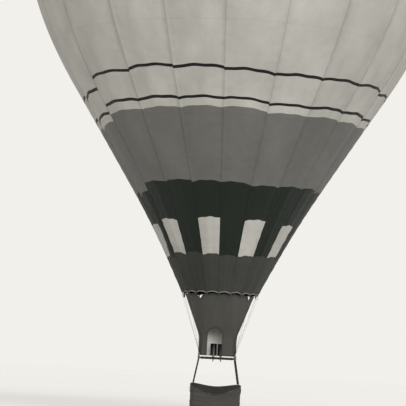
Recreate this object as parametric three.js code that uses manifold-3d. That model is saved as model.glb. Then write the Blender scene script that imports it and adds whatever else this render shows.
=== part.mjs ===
// A hot air balloon on its basket, upright, in millimetres with +Z up.
// The origin is on the axis at the envelope's widest level. The sizes below are heights above
// the ground under the basket's runners, and one group lowers them all by EQUATOR_HEIGHT.

import * as THREE from 'three';
import { mergeVertices } from 'three/addons/utils/BufferGeometryUtils.js';
import Module from 'manifold-3d';

const wasm = await Module();
wasm.setup();

// Touching pieces keep this gap
const GAP = 0.3;
// Points closer than this are one point
const MERGE_DISTANCE = 1e-3;
// Sides of the round pieces
const TUBE_SIDES = 10;
const BORE_SIDES = 16;
const SOCKET_SIDES = 12;
const WIRE_SIDES = 5;

// Envelope
const GORE_COUNT = 20;
const GORE_ANGLE = (2 * Math.PI) / GORE_COUNT;
// The first seam, measured from +X towards +Y
const FIRST_SEAM = THREE.MathUtils.degToRad(15);
const SKIN = 10;
// A gore's middle stands out and its seams pull in, as shares of the radius
const GORE_BULGE = 0.008;
const EQUATOR_HEIGHT = 15900;
const EQUATOR_RADIUS = 7000;
const CROWN_RISE = 4700;
// Above the widest level the outline is a superellipse of this power
const CROWN_POWER = 2.2;
// The outline below the widest level: height, radius, and radius gained per unit of height
const LOWER_OUTLINE = [
  { height: 4080, radius: 1210, slope: 0.5 },
  { height: 7400, radius: 3020, slope: 0.62 },
  { height: 10560, radius: 5010, slope: 0.64 },
  { height: 13200, radius: 6360, slope: 0.36 },
  { height: EQUATOR_HEIGHT, radius: EQUATOR_RADIUS, slope: 0 },
];
const MOUTH_HEIGHT = LOWER_OUTLINE[0].height;
const MOUTH_RADIUS = LOWER_OUTLINE[0].radius;
const HEM_SIZE = 30;

// Bands below the widest level: node, lower and upper height, rows of facets, colour
const LOWER_BANDS = [
  { name: 'throat_cone', low: MOUTH_HEIGHT, high: 5230, rows: 1, colour: 'olive' },
  { name: 'dark_green_band', low: 5230, high: 7400, rows: 2, colour: 'green' },
  { name: 'grey_band', low: 7400, high: 9480, rows: 2, colour: 'grey' },
  { name: 'cream_edge_band', low: 9480, high: 9700, rows: 1, colour: 'cream' },
  { name: 'lower_stripe', low: 9700, high: 9780, rows: 1, colour: 'black' },
  { name: 'cream_narrow_band', low: 9780, high: 10520, rows: 1, colour: 'cream' },
  { name: 'upper_stripe', low: 10520, high: 10600, rows: 1, colour: 'black' },
  { name: 'cream_main_band', low: 10600, high: EQUATOR_HEIGHT, rows: 4, colour: 'cream' },
];
// Bands above it, by the superellipse's own angle in degrees
const CROWN_BANDS = [
  { name: 'cream_shoulder_band', low: 0, high: 40, rows: 4, colour: 'cream' },
  { name: 'crown_stripe', low: 40, high: 41, rows: 1, colour: 'black' },
  { name: 'grey_crown_band', low: 41, high: 58, rows: 2, colour: 'grey' },
  { name: 'dark_green_crown_band', low: 58, high: 74.5, rows: 2, colour: 'green' },
];

// Parachute valve, under the vent, and the webbing star and ring over it
const VALVE_RADIUS = 2450;
const VALVE_DROP = 45;
const VALVE_ROWS = 5;
const TAPE_WIDTH = 50;
const TAPE_THICKNESS = 5;
const TAPE_LIFT = 10;
const TAPE_START = 180;
const TAPE_END = 2250;
const CROWN_RING = { inner: 130, outer: 165, height: 22, pad: 264 };

// Burner frame, gimbal and burner
const FRAME_HEIGHT = 2030;
const FRAME_HALF = { x: 579, y: 454 };
const FRAME_TUBE_RADIUS = 21;
const SOCKET = { radius: 34, low: 2000, high: 2070 };
// The lug stands on its socket, rooted a little way into it
const LUG = { width: 64, thickness: 12, height: 62, root: 4, hole: 13, holeRise: 37.2 };
const LUG_HOLE_HEIGHT = SOCKET.high + LUG.holeRise;
const GIMBAL_HALF = { x: 310, y: 230 };
const GIMBAL_BAR = 30;
const PIN_RADIUS = 11;
const PIN_CLEARANCE = 1.5;
// How far a pin's end stands past the gimbal ring
const PIN_OVER = 3;
const BLOCK = { x: 430, y: 110, z: 44, riser: 36.7 };
const CAN = { radius: 104, wall: 5, low: 2110, high: 2490, spread: 118 };
const CAN_SIDES = 20;

// Scoop: height, half sizes, and the power of its superellipse section
const SCOOP_SECTIONS = [
  { height: 2105, x: 600, y: 480, power: 6 },
  { height: 2730, x: 600, y: 490, power: 5 },
  { height: 3140, x: 755, y: 682, power: 3.2 },
  { height: 3960, x: 1065, y: 1065, power: 2 },
];
const SCOOP_SIDES = 40;
const ARCH = { centre: -100, halfWidth: 235, spring: 2760, segments: 8 };

// Flying wires and karabiners
const WIRE_RADIUS = 4;
const WIRES_PER_CORNER = GORE_COUNT / 4;
const KARABINER = { halfWidth: 22, halfHeight: 48, bar: 6, power: 3, clearance: 1, steps: 16, sides: 6 };
const WIRE_BLOCK = 26;

// Basket
const BASKET_HALF = { x: 800, y: 600 };
const BASKET_POWER = 9;
const BASKET_SIDES = 48;
const WALL = 30;
const RUNNER = { length: 1480, width: 60, height: 40, spread: 400 };
const WALL_LOW = RUNNER.height + GAP;
const FLOOR_THICKNESS = 18;
const FLOOR_MARGIN = 1;
const RIM_CORNER_HEIGHT = 1200;
// In the middle of each side the rim dips and its cover hangs lower, on the long and short sides
const RIM_DIP = { long: 90, short: 60 };
const COVER_SAG = { long: 150, short: 90 };
const RIM_COVER = { skin: 8, depth: 100, crown: 26, shoulder: 10.4, lift: 3 };
const FOOT_BAND = { thickness: 5, high: 170 };
const CYLINDER = { x: 590, y: 390, sides: 16 };
// From the floor up: the foot, the barrel, the shoulder and the collar round the valve
const CYLINDER_OUTLINE = [
  { radius: 127.5, height: 0 },
  { radius: 150, height: 60 },
  { radius: 150, height: 530 },
  { radius: 120, height: 585 },
  { radius: 52.5, height: 610 },
  { radius: 52.5, height: 660 },
];
const UPRIGHT = { x: 715, y: 515, radius: 27, endGap: 6 };

// Colours and finishes, from the photograph's tones
const FINISHES = {
  cream: { color: 0xb3ada6, roughness: 0.6, metalness: 0 },
  grey: { color: 0x686763, roughness: 0.6, metalness: 0 },
  green: { color: 0x2b302a, roughness: 0.6, metalness: 0 },
  olive: { color: 0x42433e, roughness: 0.65, metalness: 0 },
  black: { color: 0x1c1c1b, roughness: 0.65, metalness: 0 },
  scoop: { color: 0x4e4e49, roughness: 0.7, metalness: 0 },
  webbing: { color: 0x3c3a36, roughness: 0.8, metalness: 0 },
  steel: { color: 0x9a9a98, roughness: 0.3, metalness: 1 },
  aluminium: { color: 0xb0b2b4, roughness: 0.4, metalness: 1 },
  wicker: { color: 0x6a5f4c, roughness: 0.75, metalness: 0 },
  suede: { color: 0x32302f, roughness: 0.95, metalness: 0 },
  wood: { color: 0x7a6342, roughness: 0.6, metalness: 0 },
};

const balloon = new THREE.Group();
balloon.position.z = -EQUATOR_HEIGHT;

function addMesh(name, geometry, finish, parent = balloon) {
  const material = new THREE.MeshStandardMaterial(FINISHES[finish]);
  const mesh = new THREE.Mesh(geometry, material);
  mesh.name = name;
  parent.add(mesh);
  return mesh;
}

function geometryFrom(points, triangles) {
  const geometry = new THREE.BufferGeometry();
  const positions = points.flatMap((point) => [point.x, point.y, point.z]);
  geometry.setAttribute('position', new THREE.Float32BufferAttribute(positions, 3));
  geometry.setIndex(triangles.flat());
  return geometry;
}

// Booleans

function toSolid(geometry) {
  const bare = geometry.clone();
  bare.deleteAttribute('normal');
  bare.deleteAttribute('uv');
  const merged = mergeVertices(bare, MERGE_DISTANCE);
  return new wasm.Manifold(new wasm.Mesh({
    numProp: 3,
    vertProperties: new Float32Array(merged.attributes.position.array),
    triVerts: new Uint32Array(merged.index.array),
  }));
}

function toGeometry(solid) {
  const mesh = solid.getMesh();
  const geometry = new THREE.BufferGeometry();
  geometry.setAttribute('position', new THREE.BufferAttribute(mesh.vertProperties, 3));
  geometry.setIndex(new THREE.BufferAttribute(mesh.triVerts, 1));
  return geometry;
}

function joined(geometries) {
  return geometries.map(toSolid).reduce((whole, solid) => whole.add(solid));
}

// Shapes

function placed(geometry, x, y, z) {
  return geometry.translate(x, y, z);
}

function rod(from, to, radius, sides) {
  const length = from.distanceTo(to);
  const geometry = new THREE.CylinderGeometry(radius, radius, length, sides);
  const direction = to.clone().sub(from).normalize();
  const turn = new THREE.Quaternion().setFromUnitVectors(new THREE.Vector3(0, 1, 0), direction);
  const middle = from.clone().add(to).multiplyScalar(0.5);
  return geometry.applyQuaternion(turn).translate(middle.x, middle.y, middle.z);
}

function turned(profile, sides) {
  // Turns a radius and height outline about the Z axis
  const points = profile.map(([radius, height]) => new THREE.Vector2(radius, height));
  return new THREE.LatheGeometry(points, sides).rotateX(Math.PI / 2);
}

// A wall between a stack of outer rings and a matching stack of inner rings, lowest first,
// each ring counterclockwise seen from above, closed along the bottom and the top
function wallBetween(outerRings, innerRings) {
  const sides = outerRings[0].length;
  const rows = outerRings.length;
  const points = [...outerRings.flat(), ...innerRings.flat()];
  const innerStart = rows * sides;
  const triangles = [];
  const quad = (a, b, c, d) => triangles.push([a, b, c], [a, c, d]);
  for (let side = 0; side < sides; side += 1) {
    const next = (side + 1) % sides;
    for (let row = 0; row + 1 < rows; row += 1) {
      const low = row * sides;
      const high = low + sides;
      quad(low + side, low + next, high + next, high + side);
      quad(innerStart + low + next, innerStart + low + side,
        innerStart + high + side, innerStart + high + next);
    }
    const top = (rows - 1) * sides;
    quad(innerStart + side, innerStart + next, next, side);
    quad(top + side, top + next, innerStart + top + next, innerStart + top + side);
  }
  return geometryFrom(points, triangles);
}

// A section carried round a closed loop of rings, each ring the section's points in order, so that
// they run counterclockwise to an eye that the section travels towards
function closedSweep(rings) {
  const count = rings.length;
  const sides = rings[0].length;
  const triangles = [];
  for (let ring = 0; ring < count; ring += 1) {
    const here = ring * sides;
    const there = ((ring + 1) % count) * sides;
    for (let side = 0; side < sides; side += 1) {
      const next = (side + 1) % sides;
      triangles.push([here + side, there + side, there + next]);
      triangles.push([here + side, there + next, here + next]);
    }
  }
  return geometryFrom(rings.flat(), triangles);
}

// The x and y of a superellipse of the given half sizes and power
function superellipse(halfX, halfY, power, angle) {
  const share = (value) => Math.sign(value) * Math.abs(value) ** (2 / power);
  return { x: halfX * share(Math.cos(angle)), y: halfY * share(Math.sin(angle)) };
}

// A superellipse as a ring of points at even steps of the angle seen from its middle
function roundRing(halfX, halfY, power, sides, heightAt) {
  return Array.from({ length: sides }, (unused, side) => {
    const angle = (2 * Math.PI * side) / sides;
    const across = Math.abs(Math.cos(angle) / halfX) ** power;
    const along = Math.abs(Math.sin(angle) / halfY) ** power;
    const reach = (across + along) ** (-1 / power);
    const x = reach * Math.cos(angle);
    const y = reach * Math.sin(angle);
    return new THREE.Vector3(x, y, heightAt(x, y));
  });
}

// Envelope outline

// Radius and slope at a height below the widest level, by cubic pieces between the rows
function lowerOutline(height) {
  const last = LOWER_OUTLINE.length - 1;
  const found = LOWER_OUTLINE.findIndex(
    (row, index) => index < last && height <= LOWER_OUTLINE[index + 1].height);
  const low = LOWER_OUTLINE[found];
  const high = LOWER_OUTLINE[found + 1];
  const span = high.height - low.height;
  const t = (height - low.height) / span;
  const curve = (u) => (2 * u ** 3 - 3 * u ** 2 + 1) * low.radius
    + (u ** 3 - 2 * u ** 2 + u) * span * low.slope
    + (3 * u ** 2 - 2 * u ** 3) * high.radius
    + (u ** 3 - u ** 2) * span * high.slope;
  const step = 1e-3;
  return outlinePoint(curve(t), height, curve(t + step) - curve(t - step), 2 * step * span);
}

// The same above it, by the superellipse's angle in degrees
function crownOutline(degrees) {
  const at = (angle) => {
    const { x, y } = superellipse(EQUATOR_RADIUS, CROWN_RISE, CROWN_POWER, angle);
    return { radius: x, height: EQUATOR_HEIGHT + y };
  };
  const angle = THREE.MathUtils.degToRad(degrees);
  const step = 1e-3;
  const here = at(Math.max(angle, 0));
  const before = at(Math.max(angle - step, 0));
  const after = at(angle + step);
  return outlinePoint(here.radius, here.height, after.radius - before.radius, after.height - before.height);
}

// A point of the outline with its outward normal
function outlinePoint(radius, height, radiusStep, heightStep) {
  const length = Math.hypot(radiusStep, heightStep);
  return { radius, height, outward: heightStep / length, upward: -radiusStep / length };
}

// One ring of the envelope, offset from the skin's outer face along its normal
function goreRing(point, offset) {
  const radius = point.radius + offset * point.outward;
  const height = point.height + offset * point.upward;
  return Array.from({ length: 2 * GORE_COUNT }, (unused, index) => {
    const angle = FIRST_SEAM + (index * GORE_ANGLE) / 2;
    const reach = radius * (1 + (index % 2 ? GORE_BULGE : -GORE_BULGE));
    return new THREE.Vector3(reach * Math.cos(angle), reach * Math.sin(angle), height);
  });
}

function skinBetween(outline, low, high, rows) {
  const stations = Array.from({ length: rows + 1 }, (unused, row) => low + ((high - low) * row) / rows);
  const points = stations.map(outline);
  const outer = points.map((point) => goreRing(point, 0));
  const inner = points.map((point) => goreRing(point, -SKIN));
  return wallBetween(outer, inner);
}

function addEnvelope() {
  for (const band of LOWER_BANDS) {
    const skin = skinBetween(lowerOutline, band.low + GAP / 2, band.high - GAP / 2, band.rows);
    addMesh(band.name, skin, band.colour);
  }
  // The same gap on the crown, as an angle
  const gapAngle = THREE.MathUtils.radToDeg(GAP / CROWN_RISE);
  for (const band of CROWN_BANDS) {
    const skin = skinBetween(crownOutline, band.low + gapAngle / 2, band.high - gapAngle / 2, band.rows);
    addMesh(band.name, skin, band.colour);
  }
  const hemTop = MOUTH_HEIGHT - GAP / 2;
  const hemRing = (radius, height) => goreRing({ radius, height, outward: 0, upward: 0 }, 0);
  const hemOuter = [hemTop - HEM_SIZE, hemTop].map((height) => hemRing(MOUTH_RADIUS + HEM_SIZE / 2, height));
  const hemInner = [hemTop - HEM_SIZE, hemTop].map((height) => hemRing(MOUTH_RADIUS - HEM_SIZE / 2, height));
  addMesh('mouth_hem', wallBetween(hemOuter, hemInner), 'webbing');
}

// Crown

function crownHeight(radius) {
  const share = (Math.abs(radius) / EQUATOR_RADIUS) ** CROWN_POWER;
  return EQUATOR_HEIGHT + CROWN_RISE * (1 - share) ** (1 / CROWN_POWER);
}

function addValve() {
  const radii = Array.from({ length: VALVE_ROWS + 1 }, (unused, row) => (VALVE_RADIUS * row) / VALVE_ROWS);
  const under = radii.map((radius) => [radius, crownHeight(radius) - VALVE_DROP - SKIN]);
  const over = radii.map((radius) => [radius, crownHeight(radius) - VALVE_DROP]).reverse();
  addMesh('parachute_valve', turned([...under, ...over], 2 * GORE_COUNT), 'cream');
}

function addCrownWebbing() {
  const radii = [TAPE_START, (TAPE_START + TAPE_END) / 2, TAPE_END];
  const lower = radii.map((radius) => new THREE.Vector2(radius, crownHeight(radius) + TAPE_LIFT));
  const upper = lower.map(({ x, y }) => new THREE.Vector2(x, y + TAPE_THICKNESS)).reverse();
  const arm = new THREE.Shape([...lower, ...upper]);
  const arms = Array.from({ length: GORE_COUNT }, (unused, index) => {
    const strip = new THREE.ExtrudeGeometry(arm, { depth: TAPE_WIDTH, bevelEnabled: false });
    strip.translate(0, 0, -TAPE_WIDTH / 2).rotateX(Math.PI / 2);
    return strip.rotateZ(FIRST_SEAM + index * GORE_ANGLE);
  });
  const discLow = crownHeight(TAPE_START) + TAPE_LIFT;
  const disc = turned([
    [CROWN_RING.inner, discLow],
    [CROWN_RING.pad, discLow],
    [CROWN_RING.pad, discLow + TAPE_THICKNESS],
    [CROWN_RING.inner, discLow + TAPE_THICKNESS],
    [CROWN_RING.inner, discLow],
  ], 2 * GORE_COUNT);
  addMesh('crown_webbing_star', toGeometry(joined([disc, ...arms])), 'webbing');
  const ringLow = discLow + TAPE_THICKNESS + GAP;
  addMesh('crown_ring', turned([
    [CROWN_RING.inner, ringLow],
    [CROWN_RING.outer, ringLow],
    [CROWN_RING.outer, ringLow + CROWN_RING.height],
    [CROWN_RING.inner, ringLow + CROWN_RING.height],
    [CROWN_RING.inner, ringLow],
  ], 2 * GORE_COUNT), 'aluminium');
}

// Scoop and flying wires

function addScoop() {
  const rings = (inset) => SCOOP_SECTIONS.map((section) => roundRing(
    section.x - inset, section.y - inset, section.power, SCOOP_SIDES, () => section.height));
  const cloth = toSolid(wallBetween(rings(0), rings(SKIN)));
  const outline = new THREE.Shape();
  const low = SCOOP_SECTIONS[0].height - SKIN;
  outline.moveTo(ARCH.centre - ARCH.halfWidth, low);
  outline.lineTo(ARCH.centre + ARCH.halfWidth, low);
  outline.lineTo(ARCH.centre + ARCH.halfWidth, ARCH.spring);
  outline.absarc(ARCH.centre, ARCH.spring, ARCH.halfWidth, 0, Math.PI);
  outline.closePath();
  const options = { depth: MOUTH_RADIUS, bevelEnabled: false, curveSegments: ARCH.segments };
  const cutter = new THREE.ExtrudeGeometry(outline, options);
  cutter.rotateX(Math.PI / 2);
  addMesh('scoop', toGeometry(cloth.subtract(toSolid(cutter))), 'scoop');
}

function cornerNames() {
  return [
    { name: 'right_back', x: 1, y: 1 },
    { name: 'left_back', x: -1, y: 1 },
    { name: 'left_front', x: -1, y: -1 },
    { name: 'right_front', x: 1, y: -1 },
  ];
}

function addKarabiner(corner) {
  const { halfWidth, halfHeight, bar, power, clearance, steps, sides } = KARABINER;
  const centre = new THREE.Vector3(corner.x * FRAME_HALF.x, corner.y * FRAME_HALF.y,
    LUG_HOLE_HEIGHT + halfHeight - (LUG.hole - bar - clearance));
  const rings = Array.from({ length: steps }, (unused, step) => {
    const angle = (2 * Math.PI * step) / steps;
    const { x: across, y: up } = superellipse(halfWidth, halfHeight, power, angle);
    const outward = new THREE.Vector2(across / halfWidth, up / halfHeight).normalize();
    return Array.from({ length: sides }, (alsoUnused, side) => {
      const turn = (2 * Math.PI * side) / sides;
      const out = bar * Math.cos(turn);
      const point = new THREE.Vector3(bar * Math.sin(turn), across + out * outward.x, up + out * outward.y);
      return point.add(centre);
    });
  });
  addMesh(`karabiner_${corner.name}`, closedSweep(rings), 'steel');
  return centre.z + halfHeight + bar;
}

function addFlyingWires(corner, cornerIndex, karabinerTop) {
  const foot = new THREE.Vector3(corner.x * FRAME_HALF.x, corner.y * FRAME_HALF.y,
    karabinerTop + WIRE_BLOCK / 2 + GAP);
  const block = placed(new THREE.BoxGeometry(WIRE_BLOCK, WIRE_BLOCK, WIRE_BLOCK), foot.x, foot.y, foot.z);
  const hemLow = MOUTH_HEIGHT - HEM_SIZE - GAP;
  const wires = Array.from({ length: WIRES_PER_CORNER }, (unused, index) => {
    const angle = FIRST_SEAM + (cornerIndex * WIRES_PER_CORNER + index) * GORE_ANGLE;
    const head = new THREE.Vector3(MOUTH_RADIUS * Math.cos(angle), MOUTH_RADIUS * Math.sin(angle),
      hemLow - WIRE_RADIUS);
    return rod(foot, head, WIRE_RADIUS, WIRE_SIDES);
  });
  addMesh(`flying_wires_${corner.name}`, toGeometry(joined([block, ...wires])), 'steel');
}

// Burner

function addBurnerFrame() {
  const { x, y } = FRAME_HALF;
  const at = (px, py, pz = FRAME_HEIGHT) => new THREE.Vector3(px, py, pz);
  const post = (corner, low, high, radius) => rod(
    at(corner.x * x, corner.y * y, low), at(corner.x * x, corner.y * y, high), radius, SOCKET_SIDES);
  const tubes = [
    rod(at(-x, -y), at(x, -y), FRAME_TUBE_RADIUS, TUBE_SIDES),
    rod(at(-x, y), at(x, y), FRAME_TUBE_RADIUS, TUBE_SIDES),
    rod(at(-x, -y), at(-x, y), FRAME_TUBE_RADIUS, TUBE_SIDES),
    rod(at(x, -y), at(x, y), FRAME_TUBE_RADIUS, TUBE_SIDES),
  ];
  const pinEnd = GIMBAL_HALF.x - GIMBAL_BAR - PIN_OVER;
  const pins = [-1, 1].map((side) => rod(at(side * x, 0), at(side * pinEnd, 0), PIN_RADIUS, TUBE_SIDES));
  const corners = cornerNames().flatMap((corner) => {
    const socket = post(corner, SOCKET.low, SOCKET.high, SOCKET.radius);
    const lug = new THREE.BoxGeometry(LUG.width, LUG.thickness, LUG.height + LUG.root);
    return [socket, placed(lug, corner.x * x, corner.y * y, SOCKET.high + (LUG.height - LUG.root) / 2)];
  });
  const holes = cornerNames().map((corner) => {
    const from = at(corner.x * x, corner.y * y - SOCKET.radius, LUG_HOLE_HEIGHT);
    const to = at(corner.x * x, corner.y * y + SOCKET.radius, LUG_HOLE_HEIGHT);
    return toSolid(rod(from, to, LUG.hole, TUBE_SIDES));
  });
  const frame = holes.reduce((whole, hole) => whole.subtract(hole), joined([...tubes, ...pins, ...corners]));
  addMesh('burner_frame', toGeometry(frame), 'steel');
}

function addGimbalRing() {
  const { x, y } = GIMBAL_HALF;
  const outer = placed(new THREE.BoxGeometry(2 * x, 2 * y, GIMBAL_BAR), 0, 0, FRAME_HEIGHT);
  const inner = placed(new THREE.BoxGeometry(2 * (x - GIMBAL_BAR), 2 * (y - GIMBAL_BAR), 2 * GIMBAL_BAR),
    0, 0, FRAME_HEIGHT);
  const bore = PIN_RADIUS + PIN_CLEARANCE;
  const at = (px, py) => new THREE.Vector3(px, py, FRAME_HEIGHT);
  const alongX = rod(at(-2 * x, 0), at(2 * x, 0), bore, BORE_SIDES);
  const alongY = rod(at(0, -2 * y), at(0, 2 * y), bore, BORE_SIDES);
  const ring = toSolid(outer).subtract(toSolid(inner)).subtract(toSolid(alongX)).subtract(toSolid(alongY));
  addMesh('gimbal_ring', toGeometry(ring), 'steel');
}

function addBurner() {
  const pinEnd = GIMBAL_HALF.y + PIN_OVER;
  const block = placed(new THREE.BoxGeometry(BLOCK.x, BLOCK.y, BLOCK.z), 0, 0, FRAME_HEIGHT);
  const pin = rod(new THREE.Vector3(0, -pinEnd, FRAME_HEIGHT), new THREE.Vector3(0, pinEnd, FRAME_HEIGHT),
    PIN_RADIUS, TUBE_SIDES);
  const risers = [-1, 1].map((side) => rod(
    new THREE.Vector3(side * CAN.spread, 0, FRAME_HEIGHT),
    new THREE.Vector3(side * CAN.spread, 0, CAN.low - GAP), BLOCK.riser, SOCKET_SIDES));
  addMesh('burner_block', toGeometry(joined([block, pin, ...risers])), 'aluminium');
  for (const [name, side] of [['left', -1], ['right', 1]]) {
    const can = turned([
      [0, CAN.low],
      [CAN.radius, CAN.low],
      [CAN.radius, CAN.high],
      [CAN.radius - CAN.wall, CAN.high],
      [CAN.radius - CAN.wall, CAN.low + CAN.wall],
      [0, CAN.low + CAN.wall],
    ], CAN_SIDES);
    addMesh(`burner_can_${name}`, placed(can, side * CAN.spread, 0, 0), 'steel');
  }
}

// Basket

// How far a curve drops that is level at the corners and lowest in the middle of each side
function sideDrop(x, y, drop) {
  const alongLong = 1 - Math.min(1, Math.abs(x) / BASKET_HALF.x) ** 2;
  const alongShort = 1 - Math.min(1, Math.abs(y) / BASKET_HALF.y) ** 2;
  return drop.long * alongLong ** 2 + drop.short * alongShort ** 2;
}

// The height of the wicker's top edge
function rimHeight(x, y) {
  return RIM_CORNER_HEIGHT - sideDrop(x, y, RIM_DIP);
}

function basketRing(inset, heightAt) {
  return roundRing(BASKET_HALF.x - inset, BASKET_HALF.y - inset, BASKET_POWER, BASKET_SIDES, heightAt);
}

function addBasketWalls() {
  const rings = (inset) => {
    const outer = basketRing(0, rimHeight);
    const top = basketRing(inset, () => 0).map((point, side) => point.setZ(outer[side].z));
    return [basketRing(inset, () => WALL_LOW), top];
  };
  addMesh('wicker_walls', wallBetween(rings(0), rings(WALL)), 'wicker');
}

function addRimCover() {
  // The cover's section: distance in from the wall's outer face, and height over its top edge
  const { skin, depth, crown, shoulder, lift } = RIM_COVER;
  const section = [
    { inset: -skin, rise: shoulder },
    { inset: WALL / 2, rise: crown },
    { inset: WALL + skin, rise: shoulder },
    { inset: WALL + GAP + skin, rise: -depth, sags: true },
    { inset: WALL + GAP, rise: -depth, sags: true },
    { inset: WALL + GAP, rise: lift },
    { inset: -GAP, rise: lift },
    { inset: -GAP, rise: -depth, sags: true },
    { inset: -skin - GAP, rise: -depth, sags: true },
  ];
  const top = basketRing(0, rimHeight);
  const sag = top.map(({ x, y }) => sideDrop(x, y, COVER_SAG));
  const columns = section.map(({ inset, rise, sags }) =>
    basketRing(inset, () => 0).map((point, side) => point.setZ(top[side].z + rise - (sags ? sag[side] : 0))));
  const rings = top.map((unused, side) => columns.map((column) => column[side]));
  addMesh('rim_cover', closedSweep(rings), 'suede');
}

function addBasketBase() {
  const floorRing = basketRing(WALL + FLOOR_MARGIN, () => 0);
  const outline = new THREE.Shape(floorRing.map(({ x, y }) => new THREE.Vector2(x, y)));
  const floor = new THREE.ExtrudeGeometry(outline, { depth: FLOOR_THICKNESS, bevelEnabled: false });
  addMesh('basket_floor', placed(floor, 0, 0, WALL_LOW), 'wood');
  for (const [name, side] of [['front', -1], ['middle', 0], ['back', 1]]) {
    const runner = new THREE.BoxGeometry(RUNNER.length, RUNNER.width, RUNNER.height);
    addMesh(`runner_${name}`, placed(runner, 0, side * RUNNER.spread, RUNNER.height / 2), 'wood');
  }
  const band = (inset) => [WALL_LOW, FOOT_BAND.high].map((height) => basketRing(inset, () => height));
  addMesh('foot_band', wallBetween(band(-FOOT_BAND.thickness - GAP), band(-GAP)), 'suede');
}

function addFuelCylinder(corner) {
  const low = WALL_LOW + FLOOR_THICKNESS + GAP;
  const side = CYLINDER_OUTLINE.map(({ radius, height }) => [radius, low + height]);
  const [, top] = side[side.length - 1];
  const body = turned([[0, low], ...side, [0, top]], CYLINDER.sides);
  const { x, y } = CYLINDER;
  addMesh(`fuel_cylinder_${corner.name}`, placed(body, corner.x * x, corner.y * y, 0), 'aluminium');
}

function addUpright(corner) {
  const footHeight = RIM_CORNER_HEIGHT + RIM_COVER.crown + UPRIGHT.endGap;
  const headHeight = SOCKET.low - UPRIGHT.endGap;
  const foot = new THREE.Vector3(corner.x * UPRIGHT.x, corner.y * UPRIGHT.y, footHeight);
  const head = new THREE.Vector3(corner.x * FRAME_HALF.x, corner.y * FRAME_HALF.y, headHeight);
  addMesh(`upright_${corner.name}`, rod(foot, head, UPRIGHT.radius, SOCKET_SIDES), 'suede');
}

addEnvelope();
addValve();
addCrownWebbing();
addScoop();
addBurnerFrame();
addGimbalRing();
addBurner();
addBasketWalls();
addRimCover();
addBasketBase();
cornerNames().forEach((corner, index) => {
  const karabinerTop = addKarabiner(corner);
  addFlyingWires(corner, index, karabinerTop);
  addFuelCylinder(corner);
  addUpright(corner);
});

export default balloon;
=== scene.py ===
"""A hot air balloon with its scoop, burner and wicker basket, finished over the frame of its plain parts.

Sizes are in metres. Heights in this file are over the ground under the basket's runners, and the
frame's origin is EQUATOR above the ground, so every new mesh is lowered by that as it is made.
"""

import math

import bpy
import numpy as np
from mathutils import Matrix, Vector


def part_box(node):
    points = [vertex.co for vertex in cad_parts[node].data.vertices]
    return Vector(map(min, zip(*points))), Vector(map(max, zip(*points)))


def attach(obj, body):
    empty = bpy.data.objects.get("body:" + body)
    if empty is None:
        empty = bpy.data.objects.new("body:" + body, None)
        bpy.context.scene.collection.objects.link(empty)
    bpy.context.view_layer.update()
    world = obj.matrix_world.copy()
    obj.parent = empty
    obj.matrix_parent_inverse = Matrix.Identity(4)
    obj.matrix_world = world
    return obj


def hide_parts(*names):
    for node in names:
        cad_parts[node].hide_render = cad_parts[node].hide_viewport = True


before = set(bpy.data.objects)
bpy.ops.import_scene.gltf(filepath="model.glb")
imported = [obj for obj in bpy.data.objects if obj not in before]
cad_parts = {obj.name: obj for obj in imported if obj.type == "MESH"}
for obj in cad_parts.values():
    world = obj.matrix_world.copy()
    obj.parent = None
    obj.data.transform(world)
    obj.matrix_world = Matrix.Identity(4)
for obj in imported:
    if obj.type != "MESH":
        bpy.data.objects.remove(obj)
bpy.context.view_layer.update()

bl_info = {
    "name": "Hot air balloon",
    "version": (1, 0, 0),
    "blender": (4, 5, 0),
    "location": "View3D > Sidebar > Balloon",
    "description": "Envelope, scoop, burner and wicker basket of a hot air balloon",
    "category": "Object",
}

# Envelope
EQUATOR = 15.9
EQUATOR_RADIUS = 7.0
CROWN_RISE = 4.7
CROWN_POWER = 2.2
GORES = 20
FIRST_SEAM = math.radians(15)
# The outline below the widest level: height, radius, radius gained per unit of height
LOWER_OUTLINE = np.array([
    (4.08, 1.21, 0.50),
    (7.40, 3.02, 0.62),
    (10.56, 5.01, 0.64),
    (13.20, 6.36, 0.36),
    (EQUATOR, EQUATOR_RADIUS, 0.0),
])
MOUTH_HEIGHT = LOWER_OUTLINE[0, 0]
MOUTH_RADIUS = LOWER_OUTLINE[0, 1]
# Bands from the mouth up: piece, cloth, height of the upper edge
LOWER_BANDS = [
    ("throat_cone", "olive", 5.23),
    ("dark_green_band", "green", 7.40),
    ("grey_band", "grey", 9.48),
    ("cream_edge_band", "cream", 9.70),
    ("lower_stripe", "black", 9.78),
    ("cream_narrow_band", "cream", 10.52),
    ("upper_stripe", "black", 10.60),
    ("cream_main_band", "cream", EQUATOR),
]
# Bands over the widest level: piece, cloth, upper edge as the outline's own angle in degrees
CROWN_BANDS = [
    ("cream_shoulder_band", "cream", 40.0),
    ("crown_stripe", "black", 41.0),
    ("grey_crown_band", "grey", 58.0),
    ("dark_green_crown_band", "green", 74.5),
]
# A band that is longer round than this is sewn from two halves
LONGEST_BAND = 28.5
# The cream panels' top edge
PANEL_TOP = 6.28
# The cloth's grid: the height of a row, the columns between two load tapes, the slope beside a tape
ROW_STEP = 0.1
CLOTH_COLUMNS = 13
TAPE_FOOT = 0.004
TAPE_THICKNESS = 0.004
# A band's edge between two seams: how high it arches and how high it ripples
EDGE = {"arch": 0.045, "ripple": 0.010}
# Lengths of the two waves of puckers along a seam, and how far these reach from it
PUCKERS = {"long": 0.43, "short": 0.29, "reach": 0.20}
# Depths of the folds down a gore and of the mouth's pleats, and how far up the pleats reach
FOLDS = {"depth": 0.006, "pleats": 0.006, "reach": 0.7}
# The cloth gets calmer over this height, and is at its calmest this much higher up
CALM_HEIGHT = 12.5
CALM_REACH = 3
# Seams that have slipped sideways by a bell curve of the height: seam, degrees, height, reach
SLIPS = [(10, 11, 5.9, 1.0), (10, -4.2, 10.3, 3.0), (11, -4.2, 10.3, 3.0)]
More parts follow.
